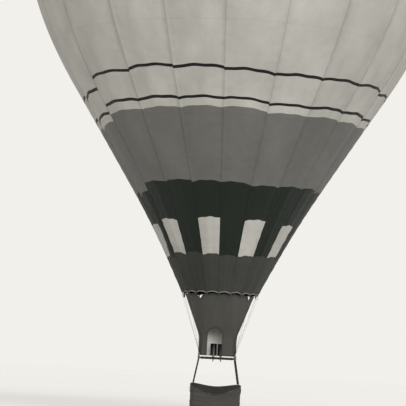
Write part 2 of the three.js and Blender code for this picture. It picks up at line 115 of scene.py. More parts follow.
# How far a few gores hang low
LOW_GORES = {9: 0.28, 10: 0.40}
# Lengths along the outline, and the share of a low gore's drop at each
LOW_SHARES = ([0.0, 1.0, 2.4, 4.0, 6.7, 7.5, 14.0], [0.0, 0.3, 0.4, 0.45, 0.4, 1.0, 0.0])
# The bands sag by bell curves of the angle: middle in degrees, reach in degrees, depth
SAGS = [(294, 20, 0.11), (200, 22, 0.20), (181, 14, 0.34)]
# Lengths along the outline, and the share of a sag's depth at each
SAG_SHARES = ([0.0, 2.4, 4.0, 6.2, 9.0, 14.0], [0.0, 0.15, 0.8, 1.0, 0.9, 0.0])
# Painted shade on a few gores in the throat: how dark they are painted, the height at which that ends, and
# the height of its fading
SHADED_GORES = {11: 0.76, 12: 0.74}
SHADE_TOP = 5.6
SHADE_FADE = 0.5

# Crown
VALVE = {"radius": 2.45, "drop": 0.045, "pillow": 0.018}
WEBBING = {"width": 0.05, "lift": 0.012, "start": 0.14, "end": 2.3}
RING = {"inner": 0.13, "outer": 0.165, "height": 0.022, "edge": 0.006}

# Burner and frame
FRAME_HEIGHT = 2.03
FRAME_HALF = (0.579, 0.454)
FRAME_TUBE = 0.021
# Padded covers on the tubes: their radius, and how far they stop from a corner and from a pin's middle
FRAME_COVER = 0.037
COVER_STOP = 0.052
PIN_SPACE = 0.045
SOCKET = {"radius": 0.034, "low": 2.0, "high": 2.07}
LUG = {"width": 0.064, "thickness": 0.012, "height": 0.062, "hole": 0.013, "hole_height": 2.1072}
GIMBAL_HALF = (0.310, 0.230)
GIMBAL_BAR = 0.03
PIN_RADIUS = 0.011
BLOCK = (0.43, 0.11, 0.044)
CAN = {"radius": 0.104, "wall": 0.005, "low": 2.11, "high": 2.49, "spread": 0.118}
COIL = {"radius": 0.080, "turns": 7}
JET_RING = 0.050
KARABINER = {"half_width": 0.022, "half_height": 0.048}
KARABINER_HEIGHT = LUG["hole_height"] + KARABINER["half_height"] - 0.006
# The ring that takes the wires' lower ends, over a karabiner's middle, and the height of their upper ends
WIRE_RING_RISE = 0.056
WIRE_TOP = MOUTH_HEIGHT - 0.08
# Corners of the basket and frame: name, side in x, side in y
CORNERS = [("right_back", 1, 1), ("left_back", -1, 1), ("left_front", -1, -1), ("right_front", 1, -1)]

# Scoop sections: height, half size in x, half size in y, power of the superellipse
SCOOP_SECTIONS = np.array([
    (2.105, 0.600, 0.480, 6.0),
    (2.730, 0.600, 0.490, 5.0),
    (3.140, 0.755, 0.682, 3.2),
    (3.960, 1.065, 1.065, 2.0),
])
SCOOP_LOW = SCOOP_SECTIONS[0, 0]
SCOOP_TOP = MOUTH_HEIGHT - 0.05
ARCH = {"centre": -0.10, "half_width": 0.235, "spring": 2.76}
SCOOP_GRID = (216, 72)
# The scoop's cloth: its wall, the radius of the tube that it is cut from, and the share of it left
SCOOP_CLOTH = {"wall": 0.006, "radius": 1.09, "share": 0.78}
# Widths of the scoop's tapes: on its lower edge and arch, down its corners, and on its upper edge
SCOOP_HEM = 0.045
SCOOP_CORNER_TAPE = 0.10
SCOOP_TOP_TAPE = 0.054
# Dark tapes down the scoop's corners, which near the top turn to where its sides fall away from the front
# and there stand as painted shade along its outline: angle in degrees at the foot and at the top
SCOOP_CORNERS = [(38.7, 17), (141.3, 163), (218.7, 197), (321.3, 343)]
# Where the scoop's top edge hangs away from the mouth: angle in degrees, reach in degrees, depth
SCOOP_GAPS = [(234, 6, 0.14), (126, 8, 0.15), (328, 3.5, 0.16), (32, 4, 0.14)]
# Where it hangs away by more than this, it has no tie
UNTIED = 0.07
# How far the mouth's edge arches up between two wires
MOUTH_ARCH = 0.042
# The strap of the loops and ties at the mouth, and of the valve's tapes
STRAP_WIDTH = 0.03
STRAP_THICKNESS = 0.003
# The one loose strap: its angle in degrees, width and length
LOOSE_STRAP = {"angle": 203, "width": 0.055, "drop": 0.15}

# Basket
BASKET_HALF = (0.8, 0.6)
BASKET_POWER = 9.0
WALL = 0.03
WALL_LOW = 0.0403
RIM_CORNER = 1.2
RIM_DIP = (0.09, 0.06)
COVER_SAG = (0.15, 0.09)
COVER = {"skin": 0.007, "depth": 0.1, "crown": 0.022, "stand": 0.0045}
FOOT_BAND = {"thickness": 0.005, "high": 0.17, "stand": 0.0012}
LACING_TURNS = 150
# The woven rods: points to a wave, sides, swing, thickness, half their height as a share of a row's,
# and how many make up a row
WICKER = {"points": 6, "sides": 4, "swing": 0.006, "thickness": 0.013, "half_height": 0.53, "rods": 9}
# Radii of a stake and of a twisted rod, and the shares of the wall's height at which two are twisted
STAKE_RADIUS = 0.0055
TWIST_RADIUS = 0.0058
TWIST_SHARES = (0.18, 0.52, 0.80)
RUNNER = {"length": 1.48, "width": 0.06, "height": 0.04, "spread": 0.4, "bolt_spacing": 0.31}
FLOOR_TOP = WALL_LOW + 0.018
# Rope handles: the height of their holes, the holes' places along a side, and the rope's radius
HANDLE = {"height": 0.62, "holes": (0.52, 0.70), "radius": 0.009}
CYLINDER = {"x": 0.59, "y": 0.39, "radius": 0.15, "low": FLOOR_TOP + 0.0003, "straps": (0.16, 0.42)}
UPRIGHT = {"foot": (0.715, 0.515, 1.232), "head": (0.579, 0.454, 1.994), "radius": 0.027}

# Smooth faces that meet at more than this get a crisp edge: on hard pieces, and on cloth with a wall
CREASE = math.radians(38)
CLOTH_CREASE = math.radians(60)

# Stage: the floor's radii, the camera's place and the sun, with angles in degrees and the lens in mm
FLOOR_RADII = np.array([[900.0], [60.0]])
EYE = {"x": -0.694, "y": -54.84, "height": 1.6, "looks_up": 5.608, "tipped": 2.94, "lens": 151.6}
SUN = {"strength": 2.35, "width": 40, "tilt": 70, "turn": 16}


# Colours

def linear(hex_colour):
    """An sRGB hex colour as linear red, green and blue."""
    shares = [int(hex_colour[place:place + 2], 16) / 255 for place in (1, 3, 5)]
    return tuple(share / 12.92 if share <= 0.04045 else ((share + 0.055) / 1.055) ** 2.4 for share in shares)


def shade(colour, factor=1.0):
    """A colour times a factor, with alpha."""
    return tuple(share * factor for share in colour[:3]) + (1.0,)


def chosen_sizes():
    """The sizes that the scene's settings hold."""
    return bpy.context.scene.balloon_sizes


# Arrays and paths

UP = np.array([0.0, 0.0, 1.0])


def turns(count):
    """Evenly spaced angles of a full turn."""
    return np.linspace(0, 2 * np.pi, count, endpoint=False)


def circle(angle):
    """Points of a flat circle of radius one."""
    return np.stack([np.cos(angle), np.sin(angle)], axis=-1)


def arc(centre, size, first, last, step):
    """Points of an arc about a centre, from one angle in degrees to another. It is a part of an ellipse
    where size has two numbers."""
    return centre + circle(np.radians(np.arange(first, last + 1, step))) * size


def xyz(x, y, z):
    """Points from their coordinates."""
    return np.stack(np.broadcast_arrays(x, y, z), axis=-1)


def polar(radius, angle, height):
    """Points at a radius and an angle round the axis, at a height."""
    return xyz(radius * np.cos(angle), radius * np.sin(angle), height)


def unit(vectors):
    """Vectors at length one."""
    return vectors / np.linalg.norm(vectors, axis=-1, keepdims=True)


def way_round(path):
    """From the point before to the point after, at each point of a closed path."""
    return np.roll(path, -1, axis=0) - np.roll(path, 1, axis=0)


def lengths(path):
    """How far along a path each of its points is."""
    return np.concatenate([[0], np.cumsum(np.linalg.norm(np.diff(path, axis=0), axis=1))])


def cubic(share, start, end, first_slope, last_slope):
    """The cubic from start to end over one unit that has these slopes at its ends."""
    rising = 3 * share ** 2 - 2 * share ** 3
    bends = (share - 2 * share ** 2 + share ** 3) * first_slope + (share ** 3 - share ** 2) * last_slope
    return start * (1 - rising) + end * rising + bends


def curve_through(points, count):
    """A smooth path through a few points: each stretch is a cubic whose ends follow the chords beside
    them."""
    points = np.asarray(points, float)
    slopes = np.gradient(points, axis=0)
    place = np.linspace(0, len(points) - 1, count)
    index = np.minimum(place.astype(int), len(points) - 2)
    after = index + 1
    return cubic((place - index)[:, None], points[index], points[after], slopes[index], slopes[after])


def flat_section(width, height, sides=8, power=6):
    """A superellipse: each coordinate is the cosine or the sine raised to 2 over the power."""
    ring = circle(turns(sides) + np.pi / sides)
    return np.array([width, height]) / 2 * np.sign(ring) * np.abs(ring) ** (2 / power)


# Shapes. A shape is its points and a list of face arrays.

def grid_faces(rows, columns, closed=False):
    """Quads between neighbouring rows of a grid numbered row by row. Every row goes round, and closed
    joins the last row to the first."""
    row = np.arange(rows if closed else rows - 1)[:, None]
    column = np.arange(columns)
    next_row, next_column = (row + 1) % rows, (column + 1) % columns
    corners = np.broadcast_arrays(
        row * columns + column,
        row * columns + next_column,
        next_row * columns + next_column,
        next_row * columns + column,
    )
    return np.stack(corners, axis=-1).reshape(-1, 4)


def repeated(copies, faces):
    """A shape of several copies, each with its own points and all with the same faces."""
    starts = (np.arange(len(copies)) * copies.shape[1])[:, None, None]
    return copies.reshape(-1, 3), [(group + starts).reshape(-1, group.shape[1]) for group in faces]


def skinned(grids, closed=False):
    """The surface over a grid of points whose rows go round, or over several such grids. The first row
    and the last are capped, or joined where closed."""
    rows, sides = grids.shape[-3:-1]
    faces = [grid_faces(rows, sides, closed)]
    if not closed:
        ring = np.arange(sides)[None]
        faces += [ring[:, ::-1], ring + (rows - 1) * sides]
    return repeated(grids.reshape(-1, rows * sides, 3), faces)


def flipped(shape):
    """A shape with its faces turned over."""
    return shape[0], [group[:, ::-1] for group in shape[1]]


def joined(shapes):
    """Several shapes as one shape."""
    starts = np.cumsum([0] + [len(points) for points, _ in shapes])
    faces = [group + start for (_, groups), start in zip(shapes, starts) for group in groups]
    return np.concatenate([points for points, _ in shapes]), faces


def many(shape, moves):
    """Copies of a shape, each moved by one of the moves."""
    return repeated(shape[0] + np.asarray(moves, float)[:, None], shape[1])


def spun(shape, angles):
    """Copies of a shape, each turned round the vertical axis by one of the angles."""
    x, y, z = shape[0].T
    cosine, sine = circle(angles).T[..., None]
    return repeated(xyz(x * cosine - y * sine, x * sine + y * cosine, z), shape[1])


def aimed(shape, origin, way):
    """A shape turned so that its upward axis points along a way, then moved to an origin."""
    ahead = unit(np.array(way, float))
    side = unit(np.cross((0, 1, 0) if abs(ahead[1]) < 0.9 else (1, 0, 0), ahead))
    return shape[0] @ np.array([side, np.cross(ahead, side), ahead]) + origin, shape[1]


def sweep(path, section, up=UP, closed=False):
    """A section carried along a path. Its first coordinate goes to the left of the way ahead, which is
    up crossed with ahead, and its second goes upward from both. Open ends are capped."""
    path = np.asarray(path, float)
    ahead = unit(way_round(path) if closed else np.gradient(path, axis=0))
    side = unit(np.cross(up, ahead))
    over = np.cross(ahead, side)
    points = path[:, None] + section[..., :1] * side[:, None] + section[..., 1:] * over[:, None]
    return skinned(points, closed)


def rod(start, end, radius, sides):
    """A straight round rod."""
    steep = abs(end[2] - start[2]) >= 0.9 * math.dist(start, end)
    return sweep([start, end], radius * circle(turns(sides)), (0, 1, 0) if steep else UP)


def bar(start, end, width, height, bevel):
    """A straight bar of rounded section. Its ends shrink along a quarter circle of the bevel's radius."""
    start, end = np.array(start, float), np.array(end, float)
    length = np.linalg.norm(end - start)
    quarter = np.radians([0, 30, 60, 90])
    inset, along = bevel * (1 - np.sin(quarter)), bevel * (1 - np.cos(quarter))
    inset = np.concatenate([inset, inset[::-1]])
    along = np.concatenate([along, length - along[::-1]])
    corners = circle(quarter + np.radians([[0], [90], [180], [270]])).reshape(-1, 2)
    signs = np.repeat([(1, 1), (-1, 1), (-1, -1), (1, -1)], len(quarter), axis=0)
    size = np.array([width, height]) / 2
    shrink = (size - inset[:, None]) / size
    path = start + (end - start) / length * along[:, None]
    return sweep(path, (signs * (size - bevel) + bevel * corners) * shrink[:, None])


def turned(profile, sides, origin=(0, 0, 0), way=UP, closed=False):
    """A profile of radius and height turned round an axis, which goes along a way from an origin. It
    goes up along its outer side. Open profiles are capped at both ends."""
    radius, height = np.transpose(profile)[..., None]
    return aimed(skinned(polar(radius, turns(sides), height), closed), origin, way)


def ring_of(radius, tube, origin, way, steps=32, sides=10):
    """A torus round a way: a circle carried along a circle."""
    path = polar(radius, turns(steps), 0.0)
    return aimed(sweep(path, tube * circle(turns(sides)), closed=True), origin, way)


def nut(radius, height, origin=(0, 0, 0), way=UP):
    """A hexagonal nut with its corners turned off."""
    profile = np.array([(0.9, 0), (1, 0.12), (1, 0.88), (0.9, 1)]) * (radius, height)
    return turned(profile, 6, origin, way)


def holed_plate(outline, hole, thickness):
    """A plate in the XZ plane with a hole: four loops, which are the outline and the hole on its two
    faces, joined one to the next all the way round."""
    half = thickness / 2
    loops = ((outline, half), (outline, -half), (hole, -half), (hole, half))
    return skinned(np.stack([xyz(loop[:, 0], side, loop[:, 1]) for loop, side in loops]), closed=True)


def ribbon(path, normals, width, thickness=TAPE_THICKNESS, closed=False, lift=0.0):
    """A flat band along a path on a surface, standing on it by half its thickness and a lift."""
    path = path + np.asarray(normals) * (thickness / 2 + lift)
    return sweep(path, flat_section(width, thickness), normals, closed)


# Pieces

def new_object(name, shape, finishes, values):
    """A mesh object of a shape, lowered from heights over the ground to the frame. values are named
    numbers for each point."""
    points, groups = shape
    loops = np.concatenate([group.ravel() for group in groups]).astype(np.int32)
    sizes = np.concatenate([np.full(len(group), group.shape[1]) for group in groups])
    mesh = bpy.data.meshes.new(name)
    mesh.vertices.add(len(points))
    mesh.vertices.foreach_set("co", (points - EQUATOR * UP).astype(np.float32).ravel())
    mesh.loops.add(len(loops))
    mesh.loops.foreach_set("vertex_index", loops)
    mesh.polygons.add(len(sizes))
    mesh.polygons.foreach_set("loop_start", (np.cumsum(sizes) - sizes).astype(np.int32))
    mesh.polygons.foreach_set("use_smooth", np.full(len(sizes), True))
    mesh.update(calc_edges=True)
    for key, numbers in values.items():
        attribute = mesh.attributes.new(key, "FLOAT", "POINT")
        attribute.data.foreach_set("value", np.ravel(numbers).astype(np.float32))
    for finish in finishes:
        mesh.materials.append(MATERIALS[finish])
    made = bpy.data.objects.new(name, mesh)
    bpy.context.scene.collection.objects.link(made)
    return made


def grow_wall(made, thickness, lined):
    """Gives a skin a wall that grows inward from its outer face. A lined one's inner face takes the
    second material."""
    wall = made.modifiers.new("Wall", "SOLIDIFY")
    wall.thickness = thickness
    wall.offset = -1
    wall.material_offset = int(lined)
    skin = made.data
    made.data = bpy.data.meshes.new_from_object(made.evaluated_get(bpy.context.evaluated_depsgraph_get()))
    made.modifiers.clear()
    bpy.data.meshes.remove(skin)


def piece(name, shapes, finish, slot, made_as="", body="balloon", crisp=False, wall=0.0, lining=None,
          **values):
    """A piece of one shape or of a list of them, riding on its body. One that is named for how it was
    made stands for the plain node of its name. A hard one has crisp edges, and so has a skin that gets
    a wall."""
    shape = joined(shapes) if isinstance(shapes, list) else shapes
    full_name = f"{name}_{made_as}" if made_as else name
    made = new_object(full_name, shape, [finish, lining] if lining else [finish], values)
    if wall:
        grow_wall(made, wall, lining is not None)
    if wall or crisp:
        made.data.set_sharp_from_angle(angle=CLOTH_CREASE if wall else CREASE)
    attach(made, body)
    if made_as:
        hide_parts(name)
    return made


def cloth_piece(name, points, values, cloth, made_as="", keep=True, wall=None, **more):
    """A piece of cloth with its wall, from a grid of points whose rows go round. It has the faces that
    keep picks by the row and column of their first corner, and the points that they use."""
    rows, columns = points.shape[:2]
    faces = grid_faces(rows, columns)[np.broadcast_to(keep, (rows - 1, columns)).ravel()]
    used, faces = np.unique(faces, return_inverse=True)
    for key, numbers in values.items():
        more[key] = np.broadcast_to(numbers, (rows, columns)).ravel()[used]
    shape = points.reshape(-1, 3)[used], [faces.reshape(-1, 4)]
    return piece(name, shape, cloth, f"{cloth}_cloth", made_as, wall=wall or chosen_sizes().skin, **more)


# Materials

def add(tree, kind, inputs, output=0, **settings):
    """One output of a new node, with its settings, and its inputs as numbers or as links."""
    node = tree.nodes.new(f"ShaderNode{kind}")
    for key, value in settings.items():
        setattr(node, key, value)
    for key, value in inputs.items():
        if isinstance(value, bpy.types.NodeSocket):
            tree.links.new(value, node.inputs[key])
        else:
            node.inputs[key].default_value = value
    return node.outputs[output] if node.outputs else None


def pattern(tree, place, size, detail=3.0, roughness=0.5):
    """Soft spots from 0 to 1. Their size is in millimetres, the same every way or one for each axis."""
    place = add(tree, "Mapping", {"Vector": place, "Scale": tuple(1000 / np.broadcast_to(size, 3))})
    return add(tree, "TexNoise", {"Vector": place, "Scale": 1.0, "Detail": detail, "Roughness": roughness})


def strips(tree, value, spacing, width):
    """One in strips that repeat along a number, and nothing between them. Sizes are in millimetres."""
    phase = add(tree, "Math", {0: value, 1: spacing / 1000}, operation="FLOORED_MODULO")
    return add(tree, "Math", {0: phase, 1: width / 1000}, operation="LESS_THAN")


def combined(tree, operation, *terms):
    """Terms added or multiplied. A term is a value alone, or a value with the two results that it is
    stretched to. They are reached at 0 and 1, or at two more numbers, and it is held past them."""
    result = None
    for value, *span in terms:
        if span:
            low, high, start, end = span if len(span) == 4 else (*span, 0.0, 1.0)
            inputs = {"Value": value, "From Min": start, "From Max": end, "To Min": low, "To Max": high}
            value = add(tree, "MapRange", inputs)
        result = value if result is None else add(tree, "Math", {0: result, 1: value}, operation=operation)
    return result


def layered(tree, under, *layers):
    """A colour with others laid over it. A layer is its colour, and then its share as one term."""
    for colour, *share in layers:
        inputs = {0: combined(tree, "ADD", share), 6: under, 7: colour}
        under = add(tree, "Mix", inputs, 2, data_type="RGBA")
    return under


def surface(tree, colour, height, depth, *roughness, **fixed):
    """The shader and its output. Its bump has a pattern's height and a depth in metres, its roughness is
    a sum of terms, and fixed are more of its numbers."""
    inputs = {"Base Color": colour, "Roughness": combined(tree, "ADD", *roughness)}
    inputs["Normal"] = add(tree, "Bump", {"Height": height, "Distance": depth})
    inputs.update({key.replace("_", " "): value for key, value in fixed.items()})
    add(tree, "OutputMaterial", {"Surface": add(tree, "BsdfPrincipled", inputs)})


def balloon_cloth(tree, place, colour, tape_share, roughness=0.62):
    """Coated ripstop nylon, woven and sewn: dull with a soft sheen. The ripstop threads show as a faint
    square grid, soft streaks of painted fold shade run down it, and polyester load tape covers each seam."""
    names = ("across", "along", "tone", "tape")
    across, along, tone, tape = [add(tree, "Attribute", {}, "Fac", attribute_name=name) for name in names]
    # Ripstop threads lie 5 mm apart, and are drawn 60 mm apart so that they show
    threads = {index: strips(tree, way, 60, 4.8) for index, way in enumerate((across, along))}
    threads = add(tree, "Math", threads, operation="MAXIMUM")
    # Cross seams join the cloth's own widths, 1.5 m apart
    cross_seams = strips(tree, along, 1500, 18)
    soil = pattern(tree, place, 1111, 8.0, 0.72)
    # Painted shade of folds: soft streaks down the cloth
    painted_fold_shade = pattern(tree, place, (667, 667, 4545), 4.0)
    # The tone attribute brings each gore's own tone and the painted shade of a few gores and beside the
    # seams
    tone = combined(tree, "MULTIPLY", (tone,), (soil, 0.94, 1.06, 0.3, 0.7), (painted_fold_shade, 0.91, 1.07, 0.3, 0.7),
                    (threads, 1.0, 0.97), (cross_seams, 1.0, 0.90), (tape, 1.0, tape_share))
    toned = add(tree, "Mix", {0: 1.0, 6: shade(colour), 7: tone}, 2, data_type="RGBA", blend_type="MULTIPLY")
    crumple = combined(tree, "ADD", (pattern(tree, place, 182, 6.0, 0.55),), (threads, 0.0, 0.12))
    gloss = (pattern(tree, place, 333, 2.0), roughness - 0.06, roughness + 0.08)
    surface(tree, toned, crumple, 0.012, gloss, Specular_IOR_Level=0.16, Sheen_Weight=0.04)


def inner_face_with_painted_glow(tree, place, colour):
    """Aramid cloth, woven, as the scoop's inner face: dull, in upright folds. It is painted near-white as a
    painted glow of daylight through the cloth, with painted shade in its folds and painted shade that
    darkens it toward its top."""
    level = add(tree, "SeparateXYZ", {"Vector": place}, "Z")
    # Painted shade that darkens the inner face toward the scoop's top, along a wandering edge
    painted_shade_upward = combined(tree, "ADD", (level,), (pattern(tree, place, 333, 4.0), -0.25, 0.25))
    painted_shade_starts, black = SCOOP_LOW + 0.9 - EQUATOR, SCOOP_TOP - 0.4 - EQUATOR
    folds = pattern(tree, place, (111, 111, 1429), 4.0)
    # The pale painted glow, under painted shade toward the top and painted shade in the folds
    tint = layered(tree, shade(colour), (shade(colour, 0.34), painted_shade_upward, 0.0, 1.0, painted_shade_starts, black),
                   (shade(colour, 0.5), folds, 0.0, 0.15, 0.4, 0.65))
    surface(tree, tint, folds, 0.01, (folds, 0.45, 0.65), Specular_IOR_Level=0.6)


def moulded_rubber(tree, place, colour):
    """Moulded rubber: matt, with a fine pebbled grain and paler rubbed patches."""
    rubbed = pattern(tree, place, 40)
    tint = layered(tree, shade(colour, 0.9), (shade(colour, 1.5), rubbed, 0.0, 1.0, 0.4, 0.7))
    surface(tree, tint, pattern(tree, place, 2, 2.0), 0.0005, (rubbed, 0.75, 0.55))


def webbing(tree, place, colour, rib=8):
    """Woven polyester webbing: dull, with ribs across it every 4 mm. They are drawn every 8 mm, so that
    they show."""
    inputs = {"Vector": place, "Scale": 1000 / (2 * math.pi * rib), "Distortion": 1.5, "Detail": 2.0}
    ribs = add(tree, "TexWave", inputs, "Fac", wave_type="BANDS", bands_direction="DIAGONAL")
    wear = pattern(tree, place, 71, 4.0)
    tint = layered(tree, shade(colour, 0.8), (shade(colour, 1.25), wear, 0.0, 1.0, 0.3, 0.7),
                   (shade(colour, 0.5), ribs, 0.0, 0.25))
    surface(tree, tint, ribs, 0.0008, (wear, 0.7, 0.9))


def rope(tree, place, colour, lay=30):
    """Laid or braided cord: dull strands that slant round it, one turn in each lay of 20 or 30 mm."""
    inputs = {"Vector": place, "Scale": 1000 / (2 * math.pi * lay), "Distortion": 0.6, "Detail": 1.0}
    strands = add(tree, "TexWave", inputs, "Fac", wave_type="BANDS", bands_direction="DIAGONAL")
    tint = layered(tree, shade(colour, 1.1), (shade(colour, 0.55), strands, 0.0, 0.6))
    surface(tree, tint, strands, 0.001, (0.8,))


def brushed_steel(tree, place, colour, roughness=0.3, grain=(83, 83, 1.04)):
    """Stainless steel, brushed along its length: fine lines stretch the highlight, with a little dirt."""
    lines = pattern(tree, place, grain, 4.0, 0.7)
    dirt = pattern(tree, place, 111, 5.0, 0.6)
    tint = layered(tree, shade(colour), (shade(colour, 0.55), dirt, 0.0, 0.35, 0.5, 0.75))
    dull = (dirt, 0.0, 0.15, 0.5, 0.8)
    surface(tree, tint, lines, 0.0003, (lines, roughness - 0.08, roughness + 0.1), dull, Metallic=1.0)


def heat_tinted_steel(tree, place, colour):
    """Stainless sheet round a flame: straw to blue bands where it has been hot, soot at the mouth."""
    level = add(tree, "SeparateXYZ", {"Vector": place}, "Z")
    wander = (pattern(tree, place, 125), 0.0, 0.12)
    span = (CAN["low"] - EQUATOR, CAN["high"] + 0.06 - EQUATOR)
    heat = combined(tree, "ADD", (combined(tree, "ADD", (level,), wander), 0.0, 1.0, *span))
    # Each tint and the shares of the way up between which it takes over
    tints = [("#4C473E", 0.0, 0.3), ("#3C3536", 0.3, 0.55), ("#2A2B31", 0.55, 0.8), ("#171615", 0.8, 1.0)]
    layers = [(shade(linear(stop)), heat, 0.0, 1.0, low, high) for stop, low, high in tints]
    lines = pattern(tree, place, (67, 67, 2.2))
    surface(tree, layered(tree, shade(colour), *layers), lines, 0.0003, (lines, 0.28, 0.5), Metallic=1.0)


def cast_metal(tree, place, colour, roughness=0.42):
    """Cast and machined alloy: a fine grain from the mould and dull patches of handling."""
    patches = pattern(tree, place, 83, 4.0)
    tint = layered(tree, shade(colour, 1.08), (shade(colour, 0.7), patches, 0.0, 1.0, 0.35, 0.7))
    gloss = (patches, roughness - 0.08, roughness + 0.12)
    surface(tree, tint, pattern(tree, place, 4.5, 3.0, 0.6), 0.0006, gloss, Metallic=1.0)


def willow(tree, place, pale):
    """Boiled willow rods, woven and varnished: each rod has its own tan, with grain along it, dark
    nodes and dust in the gaps."""
    dark = shade(pale, 0.55)
    own = add(tree, "Attribute", {}, "Fac", attribute_name="rod")
    grain = pattern(tree, place, (37, 37, 2.56), 4.0, 0.6)
    knots = pattern(tree, place, 38.5)
    tint = layered(tree, dark, (shade(pale), own), (shade(dark, 0.6), grain, 0.0, 0.45, 0.35, 0.75),
                   (shade(dark, 0.45), knots, 0.0, 0.7, 0.62, 0.8))
    surface(tree, tint, grain, 0.0006, (grain, 0.5, 0.75), IOR=1.5)


def leather(tree, place, colour, roughness=0.9, nap_size=6.67):
    """Split hide with a brushed nap: it has no gloss, its shade shifts in patches where it is rubbed."""
    rubbed = pattern(tree, place, 200, 5.0, 0.6)
    nap = pattern(tree, place, nap_size, 4.0, 0.7)
    tint = layered(tree, shade(colour, 0.78), (shade(colour, 1.35), rubbed, 0.0, 1.0, 0.35, 0.7),
                   (shade(colour, 0.6), nap, 0.0, 0.3, 0.4, 0.7))
    height = combined(tree, "ADD", (rubbed, 0.0, 1.6), (nap, 0.0, 0.35))
    gloss = (rubbed, roughness - 0.1, roughness + 0.05)
    surface(tree, tint, height, 0.004, gloss, Specular_IOR_Level=0.3, Sheen_Weight=0.1)


def wood(tree, place, pale, dark):
    """Planed timber under worn varnish: long grain lines, and darker end grain and scuffs."""
    dark = linear(dark)
    grain = pattern(tree, place, (227, 12.5, 12.5), 6.0, 0.65)
    scuffs = pattern(tree, place, 143, 5.0, 0.7)
    tint = layered(tree, shade(dark), (shade(pale), grain, 0.0, 1.0, 0.35, 0.65),
                   (shade(dark, 0.5), scuffs, 0.0, 0.6, 0.55, 0.8))
    surface(tree, tint, grain, 0.0006, (scuffs, 0.45, 0.8))


def painted_floor(tree, place, colour):
    """A plain pale floor of smooth plaster with a very faint mottle."""
    mottle = pattern(tree, place, 20000)
    tint = layered(tree, shade(colour, 0.97), (shade(colour, 1.03), mottle))
    surface(tree, tint, mottle, 0.001, (0.9,))


MATERIALS = {}


def make_materials(chosen):
    """Every material of the balloon, once. Columns: key, name, the function that makes its looks, its
    colour, and what else that function takes."""
    for key, name, recipe, colour, *more in (
        ("cream", "coated_ripstop_nylon_cream_woven", balloon_cloth, chosen.cream, 0.90),
        ("grey", "coated_ripstop_nylon_grey_woven", balloon_cloth, chosen.grey, 0.93),
        ("green", "coated_ripstop_nylon_green_woven", balloon_cloth, chosen.green, 0.92),
        ("black", "coated_ripstop_nylon_black_woven", balloon_cloth, chosen.black, 0.9),
        ("olive", "aramid_cloth_olive_woven", balloon_cloth, chosen.olive, 0.93, 0.75),
        ("scoop", "aramid_cloth_grey_woven", balloon_cloth, chosen.scoop, 0.93, 0.75),
        # The scoop's inner face: pale as a painted glow of light through the cloth, with painted shade
        ("scoop_lining", "aramid_cloth_aluminised", inner_face_with_painted_glow, "#F2F0EA"),
        ("webbing", "polyester_webbing_woven", webbing, "#2C2B28"),
        ("hem", "polyester_webbing_pale_woven", webbing, "#66645E"),
        ("pale_cord", "polyester_cord_braided", rope, "#C9C3B6", 20),
        ("manila", "manila_rope_laid", rope, "#57534A"),
        ("steel", "stainless_steel_tube_brushed", brushed_steel, "#A9A9A6"),
        ("wire", "stainless_steel_wire_stranded", brushed_steel, "#3E3E3D", 0.55, (1.85, 1.85, 2.78)),
        ("frame_steel", "stainless_steel_tube_heat_darkened", brushed_steel, "#5B5B59", 0.42, 2.78),
        ("hot_steel", "stainless_steel_sheet_heat_tinted", heat_tinted_steel, "#55524D"),
        ("alloy", "aluminium_alloy_cast", cast_metal, "#9DA0A2"),
        ("brass", "brass_machined", cast_metal, "#A98C4F", 0.32),
        ("cylinder", "aluminium_spun_brushed", brushed_steel, "#A5A7A8", 0.36, (55.6, 55.6, 1.39)),
        ("grip", "rubber_moulded", moulded_rubber, "#1E1E1D"),
        ("willow", "willow_boiled_woven", willow, chosen.willow),
        ("suede", "suede_brushed", leather, chosen.suede),
        ("rawhide", "rawhide_laced", leather, "#55483C", 0.7, 12),
        ("plywood", "birch_plywood_varnished", wood, "#A98A5E", "#7A5E3A"),
        ("ash", "ash_planed", wood, "#A58B62", "#6E5637"),
        ("floor", "plaster_smooth", painted_floor, "#E1E0DE"),
    ):
        material = bpy.data.materials.new(name)
        material.use_nodes = True
        tree = material.node_tree
        tree.nodes.clear()
        place = add(tree, "TexCoord", {}, "Object")
        recipe(tree, place, linear(colour) if isinstance(colour, str) else colour, *more)
        MATERIALS[key] = material


# Envelope surface

def skin_outline():
    """The skin's outline from the mouth to the axis as length along it, radius, height and outward
    normal. Below the widest level each stretch is a cubic between two rows with the rows' slopes. Over
    it, radius and rise are cosine and sine of one angle raised to 2 over the power."""
    stretches = []
    share = np.linspace(0, 1, 400, endpoint=False)
    for low, high in zip(LOWER_OUTLINE[:-1], LOWER_OUTLINE[1:]):
        span = high[0] - low[0]
        radius = cubic(share, low[1], high[1], span * low[2], span * high[2])
        stretches.append(np.stack([radius, low[0] + span * share], axis=-1))
    quarter = np.abs(circle(np.linspace(0, np.pi / 2, 1600))) ** (2 / CROWN_POWER)
    stretches.append((0, EQUATOR) + quarter * (EQUATOR_RADIUS, CROWN_RISE))
    points = np.concatenate(stretches)
    along = lengths(points)
    ahead = unit(np.gradient(points, along, axis=0))
    return along, points[:, 0], points[:, 1], ahead[:, 1], -ahead[:, 0]


OUTLINE = skin_outline()


def along_at_height(height):
    """Length along the outline at a height over the ground."""
    return float(np.interp(height, OUTLINE[2], OUTLINE[0]))


def along_at_crown_angle(degrees):
    """Length along the outline at the crown's own angle."""
    return along_at_height(EQUATOR + CROWN_RISE * math.sin(math.radians(degrees)) ** (2 / CROWN_POWER))


def outline_at(along):
    """Radius, height and outward normal at lengths along the outline."""
    return [np.interp(along, OUTLINE[0], values) for values in OUTLINE[1:]]


def crown_height(radius):
    """The crown's height at a distance from the axis, from its superellipse."""
    share = (np.abs(radius) / EQUATOR_RADIUS) ** CROWN_POWER
    return EQUATOR + CROWN_RISE * (1 - share) ** (1 / CROWN_POWER)


